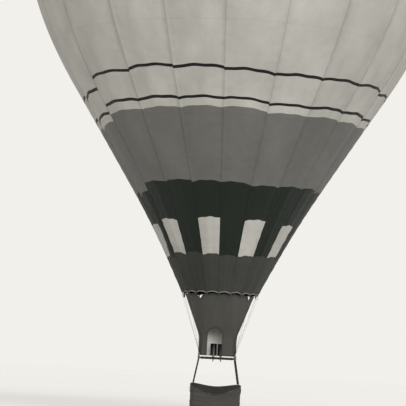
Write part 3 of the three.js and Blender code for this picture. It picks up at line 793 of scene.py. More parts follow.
# The seams' angles at the mouth, and seeded numbers for each gore that every band uses, so that their
# edges meet
SEAMS = FIRST_SEAM + turns(GORES)
GORE_DICE = np.random.default_rng(7)
GORE_TONE = 1 + 0.035 * GORE_DICE.standard_normal(GORES).clip(-1.5, 1.5)
GORE_LIFT = 0.028 * GORE_DICE.standard_normal(GORES).clip(-1.6, 1.6)
GORE_TILT = 0.030 * GORE_DICE.standard_normal(GORES).clip(-1.6, 1.6)
GORE_PHASE = 2 * np.pi * GORE_DICE.random((GORES, 6))


def by_gore(chosen, usual):
    """A number for each gore: its own where it is chosen, or else the usual one."""
    return np.array([chosen.get(gore, usual) for gore in range(GORES)])


def seam_angle(seam, height):
    """The angle of a seam at a height. The slipped seams lean aside by bell curves of the height."""
    angle = FIRST_SEAM + 2 * np.pi * seam / GORES
    for slipped, degrees, middle, reach in SLIPS:
        slip = math.radians(degrees) * np.exp(-((height - middle) / reach) ** 2)
        angle = angle + np.where(seam % GORES == slipped, slip, 0.0)
    return angle


def edge_along(level, columns):
    """Where the edge between two bands runs at each column: the nominal level, each gore's own step
    and tilt, a shallow arch between its seams, and a ripple. The low gores hang below the rest, and
    the bands sag by bell curves of the angle."""
    gore, share = columns["gore"], columns["share"]
    if level <= 0:
        return MOUTH_ARCH * (1 - share ** 2)
    # The unevenness grows from nothing at the mouth, and is less from 12 m up
    fade = min(1.0, level / 1.2) if level < along_at_height(12) else 0.6
    angle = np.degrees(FIRST_SEAM) + 360 / GORES * (gore + (share + 1) / 2)
    sag = sum(depth * np.exp(-((angle - middle) / reach) ** 2) for middle, reach, depth in SAGS)
    low = by_gore(LOW_GORES, 0.0)[gore]
    fall = np.interp(level, *LOW_SHARES) * low + np.interp(level, *SAG_SHARES) * sag
    arch = EDGE["arch"] * (1 - share ** 2)
    ripple = EDGE["ripple"] * np.sin(7.0 * share + GORE_PHASE[gore, 0] + 3 * level)
    step = GORE_LIFT[gore] * np.cos(2.1 * level + GORE_PHASE[gore, 1]) * 1.4
    return level + fade * (arch + ripple + step + GORE_TILT[gore] * share) - fall


def skin_columns():
    """Each column's gore, its share of the way across it, and its place from the left seam: a number
    of metres, and a part of what is left between the seams' feet. Those on a load tape are marked."""
    half = chosen_sizes().load_tape / 2
    foot = half + TAPE_FOOT
    inner = np.linspace(0, 1, CLOTH_COLUMNS + 2)
    part = np.concatenate([[0, 0], inner, [1]])
    one_gore = {
        "share": 2 * part - 1,
        "metres": np.concatenate([[0, half], 0 * inner + foot, [2 * foot - half]]),
        "part": part,
        "tape": np.concatenate([[1, 1], 0 * inner, [1]]),
    }
    columns = {key: np.tile(values, GORES) for key, values in one_gore.items()}
    columns.update(gore=np.repeat(np.arange(GORES), len(part)), foot=foot)
    return columns


def furrows(along, gore, distance, width, height):
    """How far the cloth stands out from the outline: cross puckers that fade within a hand of the
    seams, long soft folds down each gore, and pleats that deepen to the mouth."""
    near = np.minimum(distance, width - distance)
    share = distance / width
    phase = GORE_PHASE[gore]
    taper = np.exp(-near / PUCKERS["reach"]) * (1 - np.exp(-near / 0.02))
    lean = np.where(share < 0.5, 1, -1)
    pucker = np.sin(2 * np.pi * (along / PUCKERS["long"] + 0.9 * near) + phase[..., 1])
    pucker += 0.7 * np.sin(2 * np.pi * (along / PUCKERS["short"] - 0.6 * near) + phase[..., 2] + lean)
    folds = np.sin(2 * np.pi * (2.0 * share + 0.05 * along) + phase[..., 3])
    folds += 0.6 * np.sin(2 * np.pi * (3.3 * share - 0.08 * along) + phase[..., 4])
    still = np.sin(np.pi * share) ** 0.7
    pleats = np.exp(-along / FOLDS["reach"]) * np.sin(2 * np.pi * 3.0 * share + phase[..., 5]) * still
    calm = np.clip((height - CALM_HEIGHT) / CALM_REACH, 0, 1)
    puckers = chosen_sizes().pucker_depth * (1 - 0.5 * calm) * taper * pucker
    return puckers + FOLDS["depth"] * folds * still * (1 - 0.6 * calm) + FOLDS["pleats"] * pleats


def skin_patch(low, high):
    """Points and numbers of the skin between two edges, as rows by columns. The outline's radius grows
    by a bulge that is highest at the middle of a gore, less twice the share from its middle raised to
    1.6, and the surface stands out by the furrows and the load tape's thickness."""
    columns = skin_columns()
    share = np.linspace(0, 1, max(2, math.ceil((high - low) / ROW_STEP)) + 1)[:, None]
    start, end = edge_along(low, columns), edge_along(high, columns)
    along = start + (end - start) * share
    radius, height, outward, upward = outline_at(along)
    gore, tape = [np.broadcast_to(columns[key], along.shape) for key in ("gore", "tape")]
    left, right = seam_angle(gore, height), seam_angle(gore + 1, height)
    width = (right - left) * radius
    distance = columns["metres"] + columns["part"] * (width - 2 * columns["foot"])
    angle = left + (right - left) * distance / width
    bulge = chosen_sizes().gore_bulge * (1 - 2 * np.abs(2 * distance / width - 1) ** 1.6)
    stand = furrows(along, gore, distance, width, height) + TAPE_THICKNESS * tape
    points = polar(radius * (1 + bulge) + stand * outward, angle, height + stand * upward)
    near = np.minimum(distance, width - distance)
    # Painted shade on the shaded gores, which fades out above the throat
    shaded = (by_gore(SHADED_GORES, 1.0)[gore] - 1) * np.clip((SHADE_TOP - height) / SHADE_FADE, 0, 1)
    # Each gore's own tone, with painted shade that darkens the cloth beside each seam
    tone = GORE_TONE[gore] * (1 + shaded) * (1 - 0.07 * np.exp(-near / 0.12))
    return points, {"across": near, "along": along, "tone": tone, "tape": tape}


def edge_round(low, high, row, angle):
    """A row of the skin between two lengths along the outline, at angles round it."""
    x, y, z = skin_patch(low, high)[0][row].T
    turn = np.arctan2(y, x)
    radius, height = [np.interp(angle, turn, values, period=2 * np.pi) for values in (np.hypot(x, y), z)]
    return polar(radius, angle, height)


# Rings of the scoop and the basket

def superellipse_reach(angle, half_x, half_y, power):
    """Distance from the middle to a superellipse, seen at an angle."""
    across, up = np.abs(np.cos(angle) / half_x), np.abs(np.sin(angle) / half_y)
    return (across ** power + up ** power) ** (-1 / power)


def even_angles(half_x, half_y, power, shares):
    """The angles at which shares of the way round a superellipse lie."""
    turn = np.linspace(0, 2 * np.pi, 4001)
    along = lengths(polar(superellipse_reach(turn, half_x, half_y, power), turn, 0.0))
    return np.interp(shares, along / along[-1], turn)


def basket_ring(inset, count):
    """Evenly spaced points round the basket, in from its outer face by the inset, and their outward
    normals, which are the way round turned a quarter."""
    half_x, half_y = BASKET_HALF[0] - inset, BASKET_HALF[1] - inset
    angle = even_angles(half_x, half_y, BASKET_POWER, np.arange(count) / count)
    points = polar(superellipse_reach(angle, half_x, half_y, BASKET_POWER), angle, 0.0)
    ahead = unit(way_round(points))
    return points, xyz(ahead[:, 1], -ahead[:, 0], 0)


def side_drop(points, drop):
    """A curve's drop that is nothing at the corners and greatest in the middle of each side: for each
    side, the square of one less the squared share of the way to the corner."""
    return sum(drop[axis] * (1 - np.minimum(1, np.abs(points[..., axis]) / BASKET_HALF[axis]) ** 2) ** 2
               for axis in (0, 1))


def rim_height(points):
    """The height of the wicker's top edge."""
    return RIM_CORNER - side_drop(points, RIM_DIP)


def scoop_sizes(height):
    """Half sizes and power of the scoop's section at heights: straight between the rows of the table,
    with the last slope carried on, and averaged over a hand's height."""
    levels = np.linspace(SCOOP_LOW - 0.3, SCOOP_SECTIONS[-1, 0] + 0.4, 260)
    window = np.ones(25) / 25
    low, high = SCOOP_SECTIONS[-2:]
    over = np.maximum(levels - high[0], 0)
    sizes = []
    for column, carried_on in ((1, 1), (2, 1), (3, 0)):
        straight = np.interp(levels, SCOOP_SECTIONS[:, 0], SCOOP_SECTIONS[:, column])
        straight = straight + carried_on * over * (high[column] - low[column]) / (high[0] - low[0])
        padded = np.pad(straight, len(window) // 2, mode="edge")
        sizes.append(np.interp(height, levels, np.convolve(padded, window, mode="valid")))
    return sizes


def scoop_surface(angle, height):
    """The scoop's cloth: superellipse sections whose sizes follow the height, with long folds that
    deepen upward and a slight flutter at the lower edge."""
    angle, height = np.broadcast_arrays(angle, height)
    reach = superellipse_reach(angle, *scoop_sizes(height))
    rise = np.clip((height - 2.3) / 1.6, 0, 1.1)
    fold = 0.5 * np.sin(9 * angle + 1.3 * height) + 0.35 * np.sin(17 * angle - 2.0 * height + 1)
    fold = fold + 0.3 * np.sin(5 * angle + 2.6 * height + 2)
    flutter = 0.006 * np.exp(-(height - SCOOP_LOW) / 0.25) * np.sin(23 * angle + 1)
    return polar(reach + 0.016 * fold * rise + flutter, angle, height)


def scoop_angle(across, height):
    """The angle of the scoop's front at places across it."""
    half_x, half_y, power = scoop_sizes(height)
    share = np.clip(np.abs(across) / half_x, 0, 0.999)
    return np.arctan2(-half_y * (1 - share ** power) ** (1 / power), across)


def scoop_top(angle):
    """The scoop's upper edge: just under the mouth, arched with it between the ties, hanging away in a
    bell curve at each gap."""
    level = SCOOP_TOP + 0.022 * np.sin(GORES / 2 * (angle - FIRST_SEAM)) ** 2
    for middle, reach, depth in SCOOP_GAPS:
        away = (np.degrees(angle) - middle + 180) % 360 - 180
        level = level - depth * np.exp(-(away / reach) ** 2)
    return level


def scoop_tape(angle, height, width, **more):
    """A tape on the scoop's cloth along angles and heights. Its normals are the slope round the scoop
    crossed with the slope up it."""
    step = 1e-3
    round_it = scoop_surface(angle + step, height) - scoop_surface(angle - step, height)
    up_it = scoop_surface(angle, height + step) - scoop_surface(angle, height - step)
    return ribbon(scoop_surface(angle, height), unit(np.cross(round_it, up_it)), width, **more)


# Settings

def length_setting(name, description, default):
    """A setting in metres."""
    return bpy.props.FloatProperty(name=name, description=description, default=default, unit="LENGTH")


def colour_setting(name, description, default):
    """A setting that is a colour, whose default is a hex one."""
    return bpy.props.FloatVectorProperty(
        name=name, description=description, default=linear(default), subtype="COLOR", size=3)


class BalloonSizes(bpy.types.PropertyGroup):
    """Sizes that a user may change."""

    skin: length_setting("Skin", "Thickness of the envelope's shell", 0.010)
    load_tape: length_setting("Load tape", "Width of the tape on each seam", 0.034)
    gore_bulge: bpy.props.FloatProperty(
        name="Gore bulge", description="How far a gore's middle stands out, as a share of the radius",
        default=0.006, subtype="FACTOR", min=0.0, max=0.03)
    pucker_depth: length_setting("Puckers", "Depth of the cross puckers beside the seams", 0.010)
    weaver_rows: bpy.props.IntProperty(
        name="Weavers", description="Rows of willow between the floor and the rim", default=76)
    stakes: bpy.props.IntProperty(
        name="Stakes", description="Upright willow stakes round the basket, an even number", default=88)
    wire: length_setting("Flying wire", "Radius of one flying wire", 0.0022)


class BalloonColours(bpy.types.PropertyGroup):
    """Colours that a user may change."""

    cream: colour_setting("Cream", "The envelope's pale cloth", "#9F9D98")
    grey: colour_setting("Grey", "The wide band", "#5C5B58")
    green: colour_setting("Green", "The dark band", "#151C16")
    olive: colour_setting("Olive", "The throat", "#343532")
    black: colour_setting("Black", "The narrow stripes", "#121211")
    scoop: colour_setting("Scoop", "The scoop's cloth", "#3F3F3B")
    willow: colour_setting("Willow", "The basket's rods", "#4D4B47")
    suede: colour_setting("Suede", "Rim cover and padding", "#1F1E1B")


# Operators

class BALLOON_OT_materials(bpy.types.Operator):
    """Makes the materials."""

    bl_idname = "balloon.materials"
    bl_label = "Materials"

    def execute(self, context):
        make_materials(context.scene.balloon_colours)
        return {"FINISHED"}


class BALLOON_OT_envelope(bpy.types.Operator):
    """Makes the envelope's bands of cloth and the cream panels let into the dark green one."""

    bl_idname = "balloon.envelope"
    bl_label = "Envelope"

    def execute(self, context):
        bands = [(name, cloth, along_at_height(top)) for name, cloth, top in LOWER_BANDS]
        bands += [(name, cloth, along_at_crown_angle(top)) for name, cloth, top in CROWN_BANDS]
        low = 0.0
        for name, cloth, high in bands:
            if name == "dark_green_band":
                self.panelled_band(name, cloth, low, high)
            else:
                self.band(name, cloth, low, high)
            low = high
        return {"FINISHED"}

    def band(self, name, cloth, low, high):
        """A band in one piece, or in two halves where it is long."""
        patch = skin_patch(low, high)
        gore = skin_columns()["gore"]
        parts = [("cloth", 0, GORES)]
        if 2 * np.pi * max(outline_at(low)[0], outline_at(high)[0]) >= LONGEST_BAND:
            parts = [("cloth_back", 0, GORES // 2), ("cloth_front", GORES // 2, GORES)]
        for made_as, first, last in parts:
            made = cloth_piece(name, *patch, cloth, made_as, (gore >= first) & (gore < last))
            self.declare(made, low, high, (last - first) / GORES)

    def declare(self, made, low, high, part):
        """Takes a band's piece, its edges and its share of the way round, and does nothing with them."""

    def panelled_band(self, name, cloth, low, high):
        """The band in two rows of cloth. In every other gore the lower one is a cream panel."""
        middle = along_at_height(PANEL_TOP)
        (lower, lower_values), (upper, upper_values) = skin_patch(low, middle), skin_patch(middle, high)
        columns = skin_columns()
        between_tapes = (columns["tape"] == 0) & (np.roll(columns["tape"], -1) == 0)
        panel = (columns["gore"] % 2 == 1) & between_tapes
        points = np.concatenate([lower, upper[1:]])
        values = {key: np.concatenate([lower_values[key], upper_values[key][1:]]) for key in lower_values}
        keep = np.full((len(points) - 1, len(panel)), True)
        keep[:len(lower) - 1] = ~panel
        self.declare(cloth_piece(name, points, values, cloth, "cloth", keep), low, high, 1.0)
        panels = cloth_piece("cream_panels", lower, lower_values, "cream", keep=panel)


class BALLOON_OT_crown(bpy.types.Operator):
    """Makes the parachute valve, the webbing star and ring over it, and the vent's hem."""

    bl_idname = "balloon.crown"
    bl_label = "Crown and valve"

    def execute(self, context):
        self.valve()
        self.valve_tapes()
        self.star()
        self.ring()
        return {"FINISHED"}

    def valve(self):
        """The valve's disc hangs under the vent. It pillows up between its radial tapes, by the square
        of the sine of the angle between them, and falls back to the outline at its edge."""
        turn = turns(160)
        radius = np.linspace(VALVE["radius"], 0.03, 34)[:, None]
        between = np.sin(GORES / 2 * (turn - FIRST_SEAM))
        free = np.clip((1.95 - radius) / 0.6, 0, 1) * np.clip(radius / 0.7, 0, 1)
        pillow = VALVE["pillow"] * between ** 2 * free
        points = polar(radius, turn, crown_height(radius) - VALVE["drop"] + pillow)
        values = {"across": 0.3 * radius * np.abs(between), "along": radius, "tape": 0.0,
                  "tone": 1 + 0.03 * np.sin(3 * turn + 1)}
        made = cloth_piece("parachute_valve", points, values, "cream", "disc", body="valve")

    def valve_tapes(self):
        """The disc's radial tapes, the hub that they meet in, and its hem."""
        arm = np.linspace(0.12, VALVE["radius"] - 0.02, 16)
        path = xyz(arm, 0, crown_height(arm) - VALVE["drop"])
        tapes = spun(ribbon(path, UP, STRAP_WIDTH, STRAP_THICKNESS, lift=0.001), SEAMS)
        hub = [(0.147, -0.012), (0.15, -0.010), (0.15, 0.006), (0.147, 0.008)]
        hub = turned(hub, 48, (0, 0, crown_height(0.1) - VALVE["drop"]))
        hem = ribbon(polar(arm[-1], turns(160), path[-1, 2]), UP, 0.04, closed=True, lift=0.001)
        piece("valve_tapes", [tapes, hub, hem], "webbing", "webbing", body="valve")

    def star(self):
        """Radial webbing from the crown ring to the vent's edge, a pad under the ring, and the hem."""
        arm = np.linspace(WEBBING["start"], WEBBING["end"], 20)
        dip = 0.010 * np.clip((arm - 2.0) / 0.3, 0, 1)
        path = xyz(arm, 0, crown_height(arm) + WEBBING["lift"] - dip)
        slope = np.gradient(path, axis=0)
        normals = unit(xyz(-slope[:, 2], 0, slope[:, 0]))
        arms = spun(ribbon(path, normals, WEBBING["width"]), SEAMS)
        pad = [(0.264, 0), (0.264, 0.004), (0.125, 0.004), (0.125, 0)]
        pad = turned(pad, 64, (0, 0, crown_height(0.2) + WEBBING["lift"]), closed=True)
        piece("crown_webbing_star", [arms, pad], "webbing", "webbing", "sewn")
        turn = turns(360)
        edge = along_at_crown_angle(CROWN_BANDS[-1][2])
        outward, upward = outline_at(edge)[2:]
        path = edge_round(edge - 0.05, edge, 1, turn)
        hem = ribbon(path, polar(outward, turn, upward), 0.05, closed=True)
        piece("vent_hem", hem, "webbing", "webbing")

    def ring(self):
        """The crown ring with its edges turned off."""
        inner, outer, high, edge = RING["inner"], RING["outer"], RING["height"], RING["edge"]
        profile = [(inner, edge), (inner + edge, 0), (outer - edge, 0), (outer, edge), (outer, high - edge),
                   (outer - edge, high), (inner + edge, high), (inner, high - edge)]
        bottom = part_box("crown_ring")[0][2] + EQUATOR
        ring = turned(profile, 72, (0, 0, bottom), closed=True)
        piece("crown_ring", ring, "alloy", "aluminium", "turned")


class BALLOON_OT_mouth(bpy.types.Operator):
    """Makes the mouth's hem and the webbing loops that take the wires."""

    bl_idname = "balloon.mouth"
    bl_label = "Mouth"

    def execute(self, context):
        turn = turns(480)
        path = edge_round(0.0, ROW_STEP, 0, turn) - polar(chosen_sizes().skin / 2, turn, 0.006)
        hem = sweep(path, flat_section(0.014, 0.042, 12, 4), closed=True)
        piece("mouth_hem", hem, "hem", "webbing", "tape")
        loops = [self.loop(angle) for angle in SEAMS]
        piece("mouth_loops", loops + [self.loose_strap()], "webbing", "webbing")
        return {"FINISHED"}

    def loop(self, angle):
        """A webbing loop folded round a wire's thimble: down and up again with a round bottom."""
        gap, high = 0.010, MOUTH_HEIGHT + 0.005
        bottom = (0, WIRE_TOP) + gap * circle(np.linspace(-np.pi, 0, 9))
        across, level = np.vstack([[(-gap, high)], bottom, [(gap, high)]]).T
        path = polar(MOUTH_RADIUS + across, angle, level)
        section = flat_section(STRAP_THICKNESS, STRAP_WIDTH)
        return sweep(path, section, (-math.sin(angle), math.cos(angle), 0))

    def loose_strap(self):
        """A loose strap that hangs from the hem left of the scoop, bent a little."""
        bend = 0.012 + 0.02 * np.sin(np.linspace(0, 2.2, 8))
        level = np.linspace(MOUTH_HEIGHT - 0.010, MOUTH_HEIGHT - 0.030 - LOOSE_STRAP["drop"], 8)
        path = polar(MOUTH_RADIUS + bend, math.radians(LOOSE_STRAP["angle"]), level)
        return sweep(path, flat_section(LOOSE_STRAP["width"], STRAP_THICKNESS), (0, 1, 0))


class BALLOON_OT_scoop(bpy.types.Operator):
    """Makes the scoop's cloth with its arched opening, its tapes and its ties to the mouth."""

    bl_idname = "balloon.scoop"
    bl_label = "Scoop"

    def execute(self, context):
        self.cloth()
        self.tapes()
        self.ties()
        return {"FINISHED"}

    def cloth(self):
        """Rows from the lower edge to the upper one. Points next to the arch move onto it, and faces
        inside it are left out."""
        around, rows = SCOOP_GRID
        turn = turns(around)
        foot = even_angles(*SCOOP_SECTIONS[0, 1:3], 5.0, turn / (2 * np.pi))
        height = SCOOP_LOW + (scoop_top(turn) - SCOOP_LOW) * np.linspace(0, 1, rows + 1)[:, None]
        angle = foot + (turn - foot) * np.clip((height - 2.6) / 1.2, 0, 1)
        points = scoop_surface(angle, height)
        across, above = points[..., 0] - ARCH["centre"], np.maximum(height - ARCH["spring"], 0)
        reach = np.hypot(across, above)
        inside = (points[..., 1] < 0) & (reach < ARCH["half_width"])
        beside = inside | np.roll(inside, 1, axis=1) | np.roll(inside, -1, axis=1)
        tall = np.pad(beside, ((1, 1), (0, 0)))
        near = (tall[:-2] | tall[1:-1] | tall[2:]) & ~inside
        pull = ARCH["half_width"] / np.maximum(reach, 1e-6)
        height = np.where(near & (above > 0), ARCH["spring"] + above * pull, height)
        angle = np.where(near, scoop_angle(ARCH["centre"] + across * pull, height), angle)
        touched = inside | np.roll(inside, -1, axis=1)
        values = {"across": 0.9 * (angle - np.pi), "along": height, "tape": 0.0,
                  "tone": 1 + 0.03 * np.sin(7 * angle + 2)}
        keep = ~(touched[:-1] | touched[1:])
        # Its inner face takes the pale material of painted glow and painted shade
        made = cloth_piece("scoop", scoop_surface(angle, height), values, "scoop", "cloth", keep,
                           SCOOP_CLOTH["wall"], lining="scoop_lining")

    def tapes(self):
        """Webbing on the scoop's lower edge, round its arch, down its corners and on its upper edge."""
        centre, spring = ARCH["centre"], ARCH["spring"]
        left, right = [float(scoop_angle(centre + side * ARCH["half_width"], SCOOP_LOW)) for side in (-1, 1)]
        around = even_angles(*SCOOP_SECTIONS[0, 1:3], 6.0, np.linspace(0, 1, 241))
        both = np.concatenate([around - 2 * np.pi, around])
        left = left % (2 * np.pi)
        inner = both[(both > right + 0.01) & (both < left - 0.01)]
        edge = np.unique(np.concatenate([[right], inner, [left]]))
        parts = [scoop_tape(edge, SCOOP_LOW + SCOOP_HEM / 2, SCOOP_HEM)]
        reach = ARCH["half_width"] + SCOOP_HEM / 2 - 0.004
        leg = np.linspace(SCOOP_LOW, spring, 16)
        bow = reach * circle(np.linspace(0, np.pi, 33)[1:-1])
        across = np.concatenate([0 * leg + reach, bow[:, 0], 0 * leg - reach])
        height = np.concatenate([leg, spring + bow[:, 1], leg[::-1]])
        parts.append(scoop_tape(scoop_angle(centre + across, height), height, SCOOP_HEM))
        height = np.linspace(SCOOP_LOW + 0.01, SCOOP_TOP - 0.07, 40)
        # Dark corner tapes, which higher up also serve as painted shade along the scoop's outline
        for foot, top in SCOOP_CORNERS:
            angle = np.radians(foot + (top - foot) * np.clip((height - 2.5) / 1.3, 0, 1))
            parts.append(scoop_tape(angle, height, SCOOP_CORNER_TAPE, lift=0.002))
        angle = turns(360)
        height = scoop_top(angle) - SCOOP_TOP_TAPE / 2
        parts.append(scoop_tape(angle, height, SCOOP_TOP_TAPE, closed=True))
        piece("scoop_tapes", parts, "webbing", "scoop_cloth")

    def ties(self):
        """A webbing tie at each seam, from the scoop's upper edge to the mouth's hem, except where the
        scoop hangs away."""
        ties = []
        for angle in SEAMS:
            height = scoop_top(angle)
            if height < SCOOP_TOP - UNTIED:
                continue
            start = scoop_surface(angle, height - 0.03)
            end = polar(MOUTH_RADIUS - 0.01, angle, MOUTH_HEIGHT - 0.018)
            share = np.linspace(0, 1, 7)[:, None]
            path = start + (end - start) * share - 0.012 * np.sin(np.pi * share) * UP
            ties.append(sweep(path, flat_section(STRAP_WIDTH, STRAP_THICKNESS)))
        piece("scoop_ties", ties, "webbing", "webbing")


class BALLOON_OT_rigging(bpy.types.Operator):
    """Makes the flying wires with their thimbles and ferrules, and the karabiners."""

    bl_idname = "balloon.rigging"
    bl_label = "Wires and karabiners"

    def execute(self, context):
        for (name, x, y), seams in zip(CORNERS, np.split(SEAMS, len(CORNERS))):
            centre = np.array([x * FRAME_HALF[0], y * FRAME_HALF[1], KARABINER_HEIGHT])
            self.karabiner(name, centre, y)
            self.wires(name, centre + WIRE_RING_RISE * UP, seams)
        return {"FINISHED"}

    def karabiner(self, name, centre, side):
        """A steel loop narrower at its foot, with a screwed sleeve on its gate."""
        half_width, half_height = KARABINER["half_width"], KARABINER["half_height"]
        turn = turns(56)
        across, up = (superellipse_reach(turn, half_width, half_height, 3.0)[:, None] * circle(turn)).T
        path = centre + xyz(0, across * (1 + 0.12 * up / half_height), up)
        gate = centre + (0, side * half_width, 0)
        sleeve = [(0.0072, -0.020), (0.0088, -0.018), (0.0088, -0.006), (0.0082, -0.005), (0.0088, -0.004),
                  (0.0088, 0.012), (0.0072, 0.014)]
        hinge = [(0.0068, 0.014), (0.0075, 0.016), (0.0075, 0.022), (0.0068, 0.024)]
        parts = [sweep(path, 0.0055 * circle(turns(12)), (1, 0, 0), closed=True),
                 turned(sleeve, 16, gate), turned(hinge, 16, gate)]
        piece(f"karabiner_{name}", parts, "steel", "stainless_steel", "forged", crisp=True)

    def wires(self, name, ring, seams):
        """Five stranded wires from a ring in the karabiner to the mouth's seams."""
        radius = chosen_sizes().wire
        parts = [ring_of(0.020, 0.004, ring, (0, 1, 0))]
        for place, angle in enumerate(seams):
            head = polar(MOUTH_RADIUS, angle, WIRE_TOP)
            foot = ring + (0.006 * (place - 2), 0, 0.012)
            way = unit(head - foot)
            distance = np.linalg.norm(head - foot)
            share = np.linspace(0.03, distance - 0.03, 10)[:, None]
            path = foot + way * share - 0.004 * UP * np.sin(np.pi * share / distance)
            parts.append(sweep(path, radius * circle(turns(6)), (0.3, 0.9, 0.1)))
            across = unit(np.cross(way, UP))
            for end, inward in ((foot, way), (head, -way)):
                ferrule = rod(end + inward * 0.040, end + inward * 0.070, radius * 1.9, 10)
                parts += [self.thimble(end, inward, across), ferrule]
        piece(f"flying_wires_{name}", parts, "wire", "stainless_steel", "stranded")

    def thimble(self, end, inward, across):
        """A drop-shaped eye: an ellipse whose width is multiplied by the share of the way from its tip."""
        turn = turns(20)[:, None]
        ahead = 0.020 * (1 - np.cos(turn)) - 0.004
        aside = 0.0165 * np.sin(turn) * np.cos(turn / 2) ** 2
        path = end + inward * ahead + across * aside
        return sweep(path, 0.0032 * circle(turns(6)), np.cross(inward, across), closed=True)


def padded_sleeve(start, end, radius, quilts):
    """A padded sleeve between two points: its girth swells between cross seams by the sine's root, with
    fine creases that slant round it and one seam along it, and draws in at both ends."""
    share = np.linspace(0, 1, 15 * quilts)[:, None]
    turn = turns(24)
    puff = 0.82 + 0.16 * np.abs(np.sin(np.pi * quilts * share)) ** 0.5
    ends = 0.75 + 0.25 * np.clip(np.minimum(share, 1 - share) / 0.02, 0, 1) ** 0.5
    creases = 0.035 * np.sin(3 * turn + 40 * share) * np.sin(2 * turn - 67 * share)
    seam = -0.10 * np.exp(-((turn - 1.5) / 0.12) ** 2)
    girth = radius * puff * ends * (1 + creases + seam)
    steep = abs(end[2] - start[2]) > abs(end[1] - start[1])
    return sweep(start + (end - start) * share, girth[..., None] * circle(turn), (0, 1, 0) if steep else UP)


class BALLOON_OT_burner_frame(bpy.types.Operator):
    """Makes the burner frame with its sockets, welds, lugs and padded covers, and its gimbal ring."""

    bl_idname = "balloon.burner_frame"
    bl_label = "Burner frame and gimbal"

    def execute(self, context):
        self.frame()
        self.covers()
        self.gimbal()
        return {"FINISHED"}

    def frame(self):
        """Four tubes, the gimbal's pins with their collars and nuts, and the corners."""
        (half_x, half_y), level = FRAME_HALF, FRAME_HEIGHT
        pin_end = GIMBAL_HALF[0] - GIMBAL_BAR - 0.003
        collar = [(0.024, 0), (0.026, 0.004), (0.026, 0.024), (0.018, 0.034), (0.012, 0.036)]
        parts = []
        for side in (-1, 1):
            parts += [
                rod((-half_x, side * half_y, level), (half_x, side * half_y, level), FRAME_TUBE, 24),
                rod((side * half_x, -half_y, level), (side * half_x, half_y, level), FRAME_TUBE, 24),
                rod((side * half_x, 0, level), (side * pin_end, 0, level), PIN_RADIUS, 20),
                turned(collar, 24, (side * (half_x - 0.018), 0, level), (-side, 0, 0)),
                nut(0.019, 0.012, (side * (GIMBAL_HALF[0] + 0.010), 0, level), (side, 0, 0)),
            ]
        for _, x, y in CORNERS:
            parts += self.corner(x, y)
        piece("burner_frame", parts, "frame_steel", "stainless_steel", "welded", crisp=True)

    def corner(self, x, y):
        """A corner's socket with a rolled lip, the welds of the two tubes on it, and its lug."""
        centre = np.array([x * FRAME_HALF[0], y * FRAME_HALF[1], 0.0])
        radius, low, high = SOCKET["radius"], SOCKET["low"], SOCKET["high"]
        profile = [(radius - 0.006, low), (radius, low + 0.003), (radius + 0.002, low + 0.006),
                   (radius, low + 0.009), (radius, high - 0.006), (radius - 0.004, high)]
        at = centre + FRAME_HEIGHT * UP
        weld = FRAME_TUBE + 0.0015
        welds = [ring_of(weld, 0.004, at - (x * (radius + 0.001), 0, 0), (1, 0, 0), 24, 8),
                 ring_of(weld, 0.004, at - (0, y * (radius + 0.001), 0), (0, 1, 0), 24, 8)]
        # The lug's outline is half an ellipse over a square foot, as its reach from the hole
        half, rise = LUG["width"] / 2, LUG["hole_height"]
        over, under = high + LUG["height"] - rise, rise - high + 0.004
        ring = circle(turns(48))
        cosine, sine = np.abs(ring.T)
        round_part = ((cosine / half) ** 2 + (sine / over) ** 2) ** -0.5
        square = 1 / np.maximum(cosine / half, sine / under)
        reach = np.where(ring[:, 1] >= 0, round_part, square)[:, None]
        lug = holed_plate((0, rise) + reach * ring, (0, rise) + LUG["hole"] * ring, LUG["thickness"])
        return [turned(profile, 32, centre), *welds, many(lug, [centre])]

    def covers(self):
        """Padded covers on the frame's tubes, which stop short of the sockets and the gimbal's pins."""
        half_x, half_y = FRAME_HALF
        parts = []
        for side in (-1, 1):
            start = np.array([COVER_STOP - half_x, side * half_y, FRAME_HEIGHT])
            parts.append(padded_sleeve(start, start * (-1, 1, 1), FRAME_COVER, 8))
            for half in (-1, 1):
                start = np.array([side * half_x, half * PIN_SPACE, FRAME_HEIGHT])
                end = np.array([side * half_x, half * (half_y - COVER_STOP), FRAME_HEIGHT])
                parts.append(padded_sleeve(start, end, FRAME_COVER, 3))
        piece("burner_frame_covers", parts, "suede", "suede")

    def gimbal(self):
        """Two long bars, two short ones between them, and the bosses at the four pins."""
        (half_x, half_y), level, size = GIMBAL_HALF, FRAME_HEIGHT, GIMBAL_BAR
        boss = [(0.017, 0), (0.020, 0.002), (0.020, 0.005), (0.0135, 0.006)]
        parts = []
        for side in (-1, 1):
            x, y = side * (half_x - size / 2), side * (half_y - size / 2)
            end = half_y - 0.002
            parts += [
                bar((-half_x, y, level), (half_x, y, level), size, size, 0.004),
                bar((x, -end, level), (x, end, level), size, size - 0.001, 0.004),
                turned(boss, 24, (side * half_x, 0, level), (side, 0, 0)),
                turned(boss, 24, (0, side * (half_y - size), level), (0, -side, 0)),
            ]
        piece("gimbal_ring", parts, "frame_steel", "stainless_steel", "welded", "gimbal", crisp=True)


